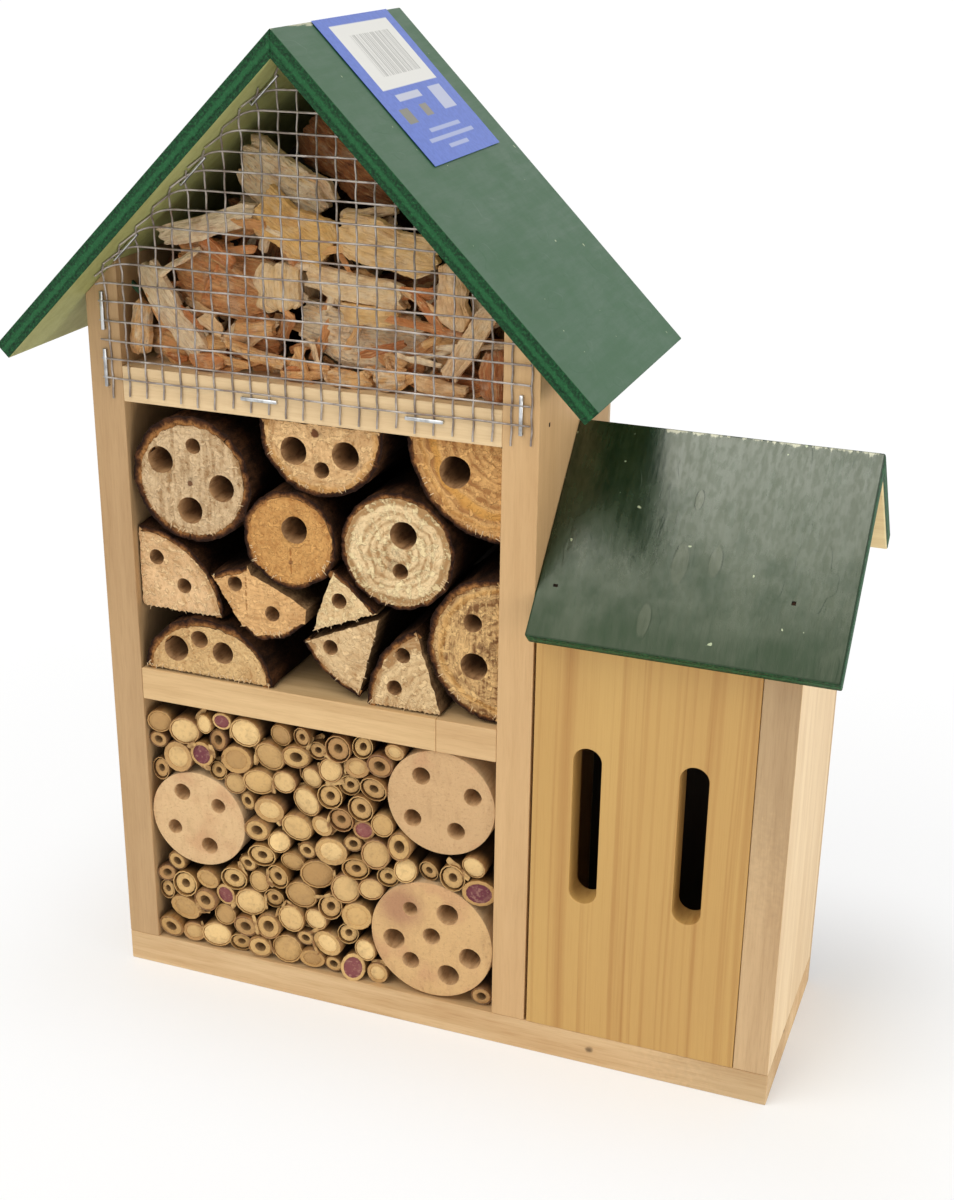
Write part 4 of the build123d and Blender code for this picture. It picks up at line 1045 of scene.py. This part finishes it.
# The hidden heap behind them, as many small flakes
shape = bmesh.new()
for low, high in map(extent, islands("back_chips")):
    for number in range(16):
        place = Vector([dice.uniform(low[k] + 0.006, high[k] - 0.006) for k in range(3)])
        place.z = min(place.z, RIDGE_UNDER - abs(place.x - RIDGE_X) - 0.036)
        flake(
            shape, place, dice.uniform(0.016, 0.04), dice.uniform(0.005, 0.013), 0.0022, sway(1.3),
            dice.random(), dice.uniform(0, 90), 0.001, (sway(0.5), sway(0.2)),
        )
face_out(shape)
finish_piece(shape, "back_chips_torn", [bark_flake], ["back_chips"], 38)

# Splinters and crumbs of bark among the front chips: lengths, widths and how far they turn
STRIP = (0.018, 0.028), (0.0016, 0.0028), 0.6
CRUMB = (0.006, 0.02), (0.0018, 0.0055), 1.3
shape = bmesh.new()
for number in range(150):
    x = dice.uniform(BAY_LEFT + 0.008, BAY_RIGHT - 0.008)
    top = min(0.052, (RIDGE_UNDER - abs(x - RIDGE_X) - SHELF_TOP) * 0.62)
    z = SHELF_TOP + 0.0025 + top * dice.random() ** 2
    lengths, widths, most = STRIP if number % 7 == 0 and z > SHELF_TOP + 0.006 else CRUMB
    flake(
        shape, Vector((x, dice.uniform(FRONT + 0.004, FRONT + 0.017), z)), dice.uniform(*lengths),
        dice.uniform(*widths), 0.001, sway(most), dice.uniform(0.1, 0.85), number * 1.3, 0.0006,
        (sway(0.7), sway(0.25)),
    )
face_out(shape)
finish_piece(shape, "splinters", [wood_flake], (), 50)

# Husks and crumbs caught between the canes, but not over a disc or outside the bay
husk = mottled("dry_husk", 0.8, (420,), 0.35, 0.65, (0.6, 0.39, 0.16), (0.26, 0.13, 0.045))
BAY_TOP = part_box("lower_shelf")[0].z
shape = bmesh.new()
for number in range(90):
    x, z, radius, y = dice.choice(cane_ends)
    turn = dice.uniform(0, 2 * pi)
    reach = radius * 1.05
    place = Vector((x + reach * cos(turn), y + dice.uniform(-0.0006, 0.002), z + reach * sin(turn)))
    if any(hypot(place.x - disc[1] * MM, place.z - disc[2] * MM) < disc[3] * MM + 0.002 for disc in DISCS):
        continue
    if not (BAY_LEFT + 0.003 < place.x < BAY_RIGHT - 0.003 and 0.018 < place.z < BAY_TOP - 0.003):
        continue
    flake(
        shape, place, dice.uniform(0.003, 0.0075), dice.uniform(0.0009, 0.0024), 0.0004,
        turn + pi / 2 + sway(0.5), dice.uniform(0.1, 0.42), number * 2.1, 0.0003, (sway(0.5), sway(0.2)),
    )
face_out(shape)
finish_piece(shape, "husks", [husk], (), 50)

# Wire mesh: every wire follows the net's surface, flat over the bay and folded forward under the roof
PITCH = 0.00635
WIRE = 0.00035
FOLD = 0.0042
REACH = 0.0088
ROOF_GAP = 0.0008
COLUMNS = 24
WIRE_STEP = 0.0016
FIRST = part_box("wire_mesh")[0].x + 0.0032
LAST = FIRST + (COLUMNS - 1) * PITCH
ROW_LOW = SHELF_TOP - 0.004
ROWS = ceil((RIDGE_UNDER - 0.004 - ROW_LOW) / PITCH)


def on_net(x, z, lift):
    """Where a point of the unfolded net lies, or None past its cut edge."""
    side = 1 if x > RIDGE_X else -1
    rise = (x - RIDGE_X) * side
    past = (rise + z - (RIDGE_UNDER - ROOF_GAP)) * SLOPE
    along = (rise - z) * SLOPE
    bent = past + FOLD
    if bent <= 0:
        forward = 0.0
    elif bent < FOLD * pi / 2:
        past = -FOLD + FOLD * sin(bent / FOLD)
        forward = FOLD * (1 - cos(bent / FOLD))
    else:
        forward = FOLD + bent - FOLD * pi / 2
        past = 0.0
    if forward > REACH:
        return None
    level = past / SLOPE + RIDGE_UNDER - ROOF_GAP
    rise, z = (level + along / SLOPE) / 2, (level - along / SLOPE) / 2
    wave = 0.0006 * lumps(x * 60, z * 60, 4.0)
    return Vector((RIDGE_X + side * rise, FRONT - WIRE - lift - forward - abs(wave), z))


def wire(start, stop, spot):
    """The points of a wire from a start to a stop, as long as its spots lie on the net."""
    run = []
    while start < stop:
        place = spot(start)
        if place is not None:
            run.append(place)
        elif run:
            break
        start += WIRE_STEP
    return run


wires = []
for column in range(COLUMNS):
    x, lean = FIRST + column * PITCH, sway(0.0003)
    low = ROW_LOW - dice.uniform(0.0055, 0.0072)
    wires.append(wire(low, 1, lambda z: on_net(x + lean * sin(z * 90) + 0.00015 * sin(z * 700), z, 0)))
for row in range(ROWS):
    z, lean = ROW_LOW + row * PITCH, sway(0.0003)
    wires.append(wire(FIRST - 0.003, LAST + 0.0008, lambda x: on_net(x, z + lean * sin(x * 80), WIRE * 1.6)))
wires = [run for run in wires if len(run) > 2]

curve = bpy.data.curves.new("net_wires", "CURVE")
curve.dimensions = "3D"
curve.bevel_depth = WIRE * 0.95
curve.bevel_resolution = 1
curve.use_fill_caps = True
for run in wires:
    spline = curve.splines.new("POLY")
    spline.points.add(len(run) - 1)
    for point, place in zip(spline.points, run):
        point.co = (*place, 1)
holder = add_object("net_wires", curve)
mesh = bpy.data.meshes.new_from_object(holder)
bpy.data.objects.remove(holder)
shape = bmesh.new()
shape.from_mesh(mesh)
bpy.data.meshes.remove(mesh)
face_out(shape)
zinc_tones = (0.46, 0.42, 0.39), (0.24, 0.2, 0.175)
zinc = mottled(
    "galvanised", 0.55, (160, (1, 1, 1), 3, 0.6), 0.35, 0.65, *zinc_tones, 0.0002, rust=0.4, Metallic=0.7,
)
finish_piece(shape, "net_wires", [zinc], ["wire_mesh", "mesh_strips"], 60)

# Staples and brads
steel_tones = (0.6, 0.62, 0.64), (0.32, 0.32, 0.32)
bright = mottled("bright_staple", 0.3, (300, (1, 1, 1), 2, 0.6), 0.4, 0.7, *steel_tones, 0.00004, Metallic=1)
for node_name in ("front_staples", "roof_staples"):
    finish_piece(eased(node_name, 0.00018), node_name + "_round", [bright], [node_name])
head_tones = (0.004, 0.004, 0.003), (0.03, 0.014, 0.007)
brad_head = mottled("brad_head", 0.8, (700, (1, 1, 1), 2), 0.4, 0.6, *head_tones, Specular_IOR_Level=0.1)
for node_name in ("back_brads", "carcass_brads"):
    for slot in nodes[node_name].material_slots:
        slot.material = brad_head.material
# Brads of the main roof and of the small back sheet are painted over; the small front sheet's show
shape = joined_copy("roof_brads")
for face in shape.faces:
    middle = face.calc_center_median()
    face.material_index = 1 if middle.x < BAY_RIGHT + 0.015 else 0 if middle.y < -0.024 else 2
finish_piece(shape, "roof_brads_sunk", [brad_head, main_paint, small_paint], ["roof_brads"])

# The paper label, lifting a little in a gentle wave
low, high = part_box("roof_label")
label_length = (high.x - low.x) / SLOPE - 0.0006
shape = bmesh.new()
uv = layer(shape.loops.layers.uv, "print")
bmesh.ops.create_grid(shape, x_segments=24, y_segments=24, size=0.5)
for face in shape.faces:
    for loop in face.loops:
        loop[uv].uv = (loop.vert.co.y + 0.5, 0.5 - loop.vert.co.x)
top = Vector((RIDGE_X + 0.0003, 0, RIDGE_UNDER + SHEET / SLOPE + 0.00012))
for vert in shape.verts:
    down, across = vert.co.x + 0.5, vert.co.y + 0.5
    lift = (0.00012 + 0.00005 * sin(down * 9) * sin(across * 7)) * SLOPE
    run = down * label_length * SLOPE
    vert.co = top + Vector((run + lift, low.y + across * (high.y - low.y), -run + lift))
face_out(shape)
bmesh.ops.solidify(shape, geom=shape.faces[:], thickness=0.00008)
face_out(shape)
finish_piece(shape, "paper_label", [printed_paper("printed_paper")], ["roof_label"])

# The floor: lit by the lamps near the base and white to the camera away from it, where outside is
# the distance from the base's outline
shape = bmesh.new()
bmesh.ops.create_grid(shape, x_segments=1, y_segments=1, size=9)
floor_mesh = bpy.data.meshes.new("floor")
shape.to_mesh(floor_mesh)
shape.free()
floor_object = add_object("floor", floor_mesh)
white = Finish("floor_white", 0.9, Base_Color=(0.94, 0.95, 0.96, 1))
glow = white.add("Emission", {}, {"Color": (1, 1, 1, 1), "Strength": 1.02})
seen = white.add("LightPath", {}, {}, "Is Camera Ray")
BASE_MIDDLE, BASE_HALF = (0.007, 0, 0), (0.127, 0.04, 1)
outside = white.place.vector("SUBTRACT", BASE_MIDDLE).vector("ABSOLUTE")
outside = outside.vector("SUBTRACT", BASE_HALF).vector("MAXIMUM").vector("LENGTH", output="Value")
white_share = 0.22 + outside.rise(-0.02, 0.09) * 0.56 + outside.rise(0.05, 0.4) * 0.22
lit = Value(white.tree, white.shader.outputs[0])
blend = white.add("MixShader", {}, {0: seen * white_share, 1: lit, 2: glow})
white.tree.links.new(blend.socket, white.tree.nodes["Material Output"].inputs["Surface"])
floor_mesh.materials.append(white.material)

# The world: bright where it is seen, mirrored or looked through, and half as bright as a light
world = bpy.data.worlds.new("studio")
bpy.context.scene.world = world
world.use_nodes = True
sky = world.node_tree.nodes["Background"]
sky.inputs["Color"].default_value = (1, 1, 1, 1)
RAYS = ("Is Camera Ray", "Is Glossy Ray", "Is Transmission Ray")
camera_ray, glossy_ray, through_ray = (add_node(world.node_tree, "LightPath", {}, {}, ray) for ray in RAYS)
direct = camera_ray.maths("MAXIMUM", glossy_ray).maths("MAXIMUM", through_ray)
strength = add_node(world.node_tree, "MapRange", {}, {"Value": direct, "To Min": 0.5, "To Max": 1.0})
world.node_tree.links.new(strength.socket, sky.inputs["Strength"])


def softbox(name, direction, distance, wide, high, power, middle=0.17):
    """A warm white panel lamp that faces the middle of the house."""
    lamp = bpy.data.lights.new(name, "AREA")
    lamp.shape = "RECTANGLE"
    lamp.size = wide
    lamp.size_y = high
    lamp.energy = power
    lamp.color = (1.0, 0.965, 0.9)
    holder = add_object(name, lamp)
    aim = Vector(direction).normalized()
    holder.location = Vector((0, 0, middle)) + aim * distance
    holder.rotation_euler = aim.to_track_quat("Z", "Y").to_euler()


softbox("key_softbox", (-0.3, -0.46, 0.84), 1.5, 1.1, 1.1, 12.5)
softbox("front_fill", (-0.12, -0.95, 0.22), 1.6, 1.0, 0.6, 3.8, 0.1)
softbox("side_panel", (0.99, -0.08, 0.05), 1.3, 1.2, 0.4, 8.5, 0.12)

# The camera, as solved from the photograph
PHOTO_WIDE, PHOTO_HIGH = 954, 1200
FOCAL_PIXELS = 1774.376
SENSOR_HIGH = 24.0
camera = bpy.data.cameras.new("camera")
camera.sensor_fit = "VERTICAL"
camera.sensor_height = SENSOR_HIGH
camera.sensor_width = SENSOR_HIGH * PHOTO_WIDE / PHOTO_HIGH
camera.lens = SENSOR_HIGH * FOCAL_PIXELS / PHOTO_HIGH
camera.clip_end = 30
camera_object = add_object("camera", camera)
azimuth, elevation, roll = radians(20.033), radians(22.345), radians(0.788)
back = Vector((sin(azimuth) * cos(elevation), -cos(azimuth) * cos(elevation), sin(elevation)))
level_right = (-back).cross(Vector((0, 0, 1))).normalized()
level_up = level_right.cross(-back)
right = level_right * cos(roll) + level_up * sin(roll)
up = level_up * cos(roll) - level_right * sin(roll)
turn = Matrix((right, up, back)).transposed()
eye = Matrix.Translation((0.195884, -0.531921, 0.384266))
camera_object.matrix_world = eye @ turn.to_4x4()
bpy.context.scene.camera = camera_object
bpy.context.scene.view_settings.view_transform = "Standard"
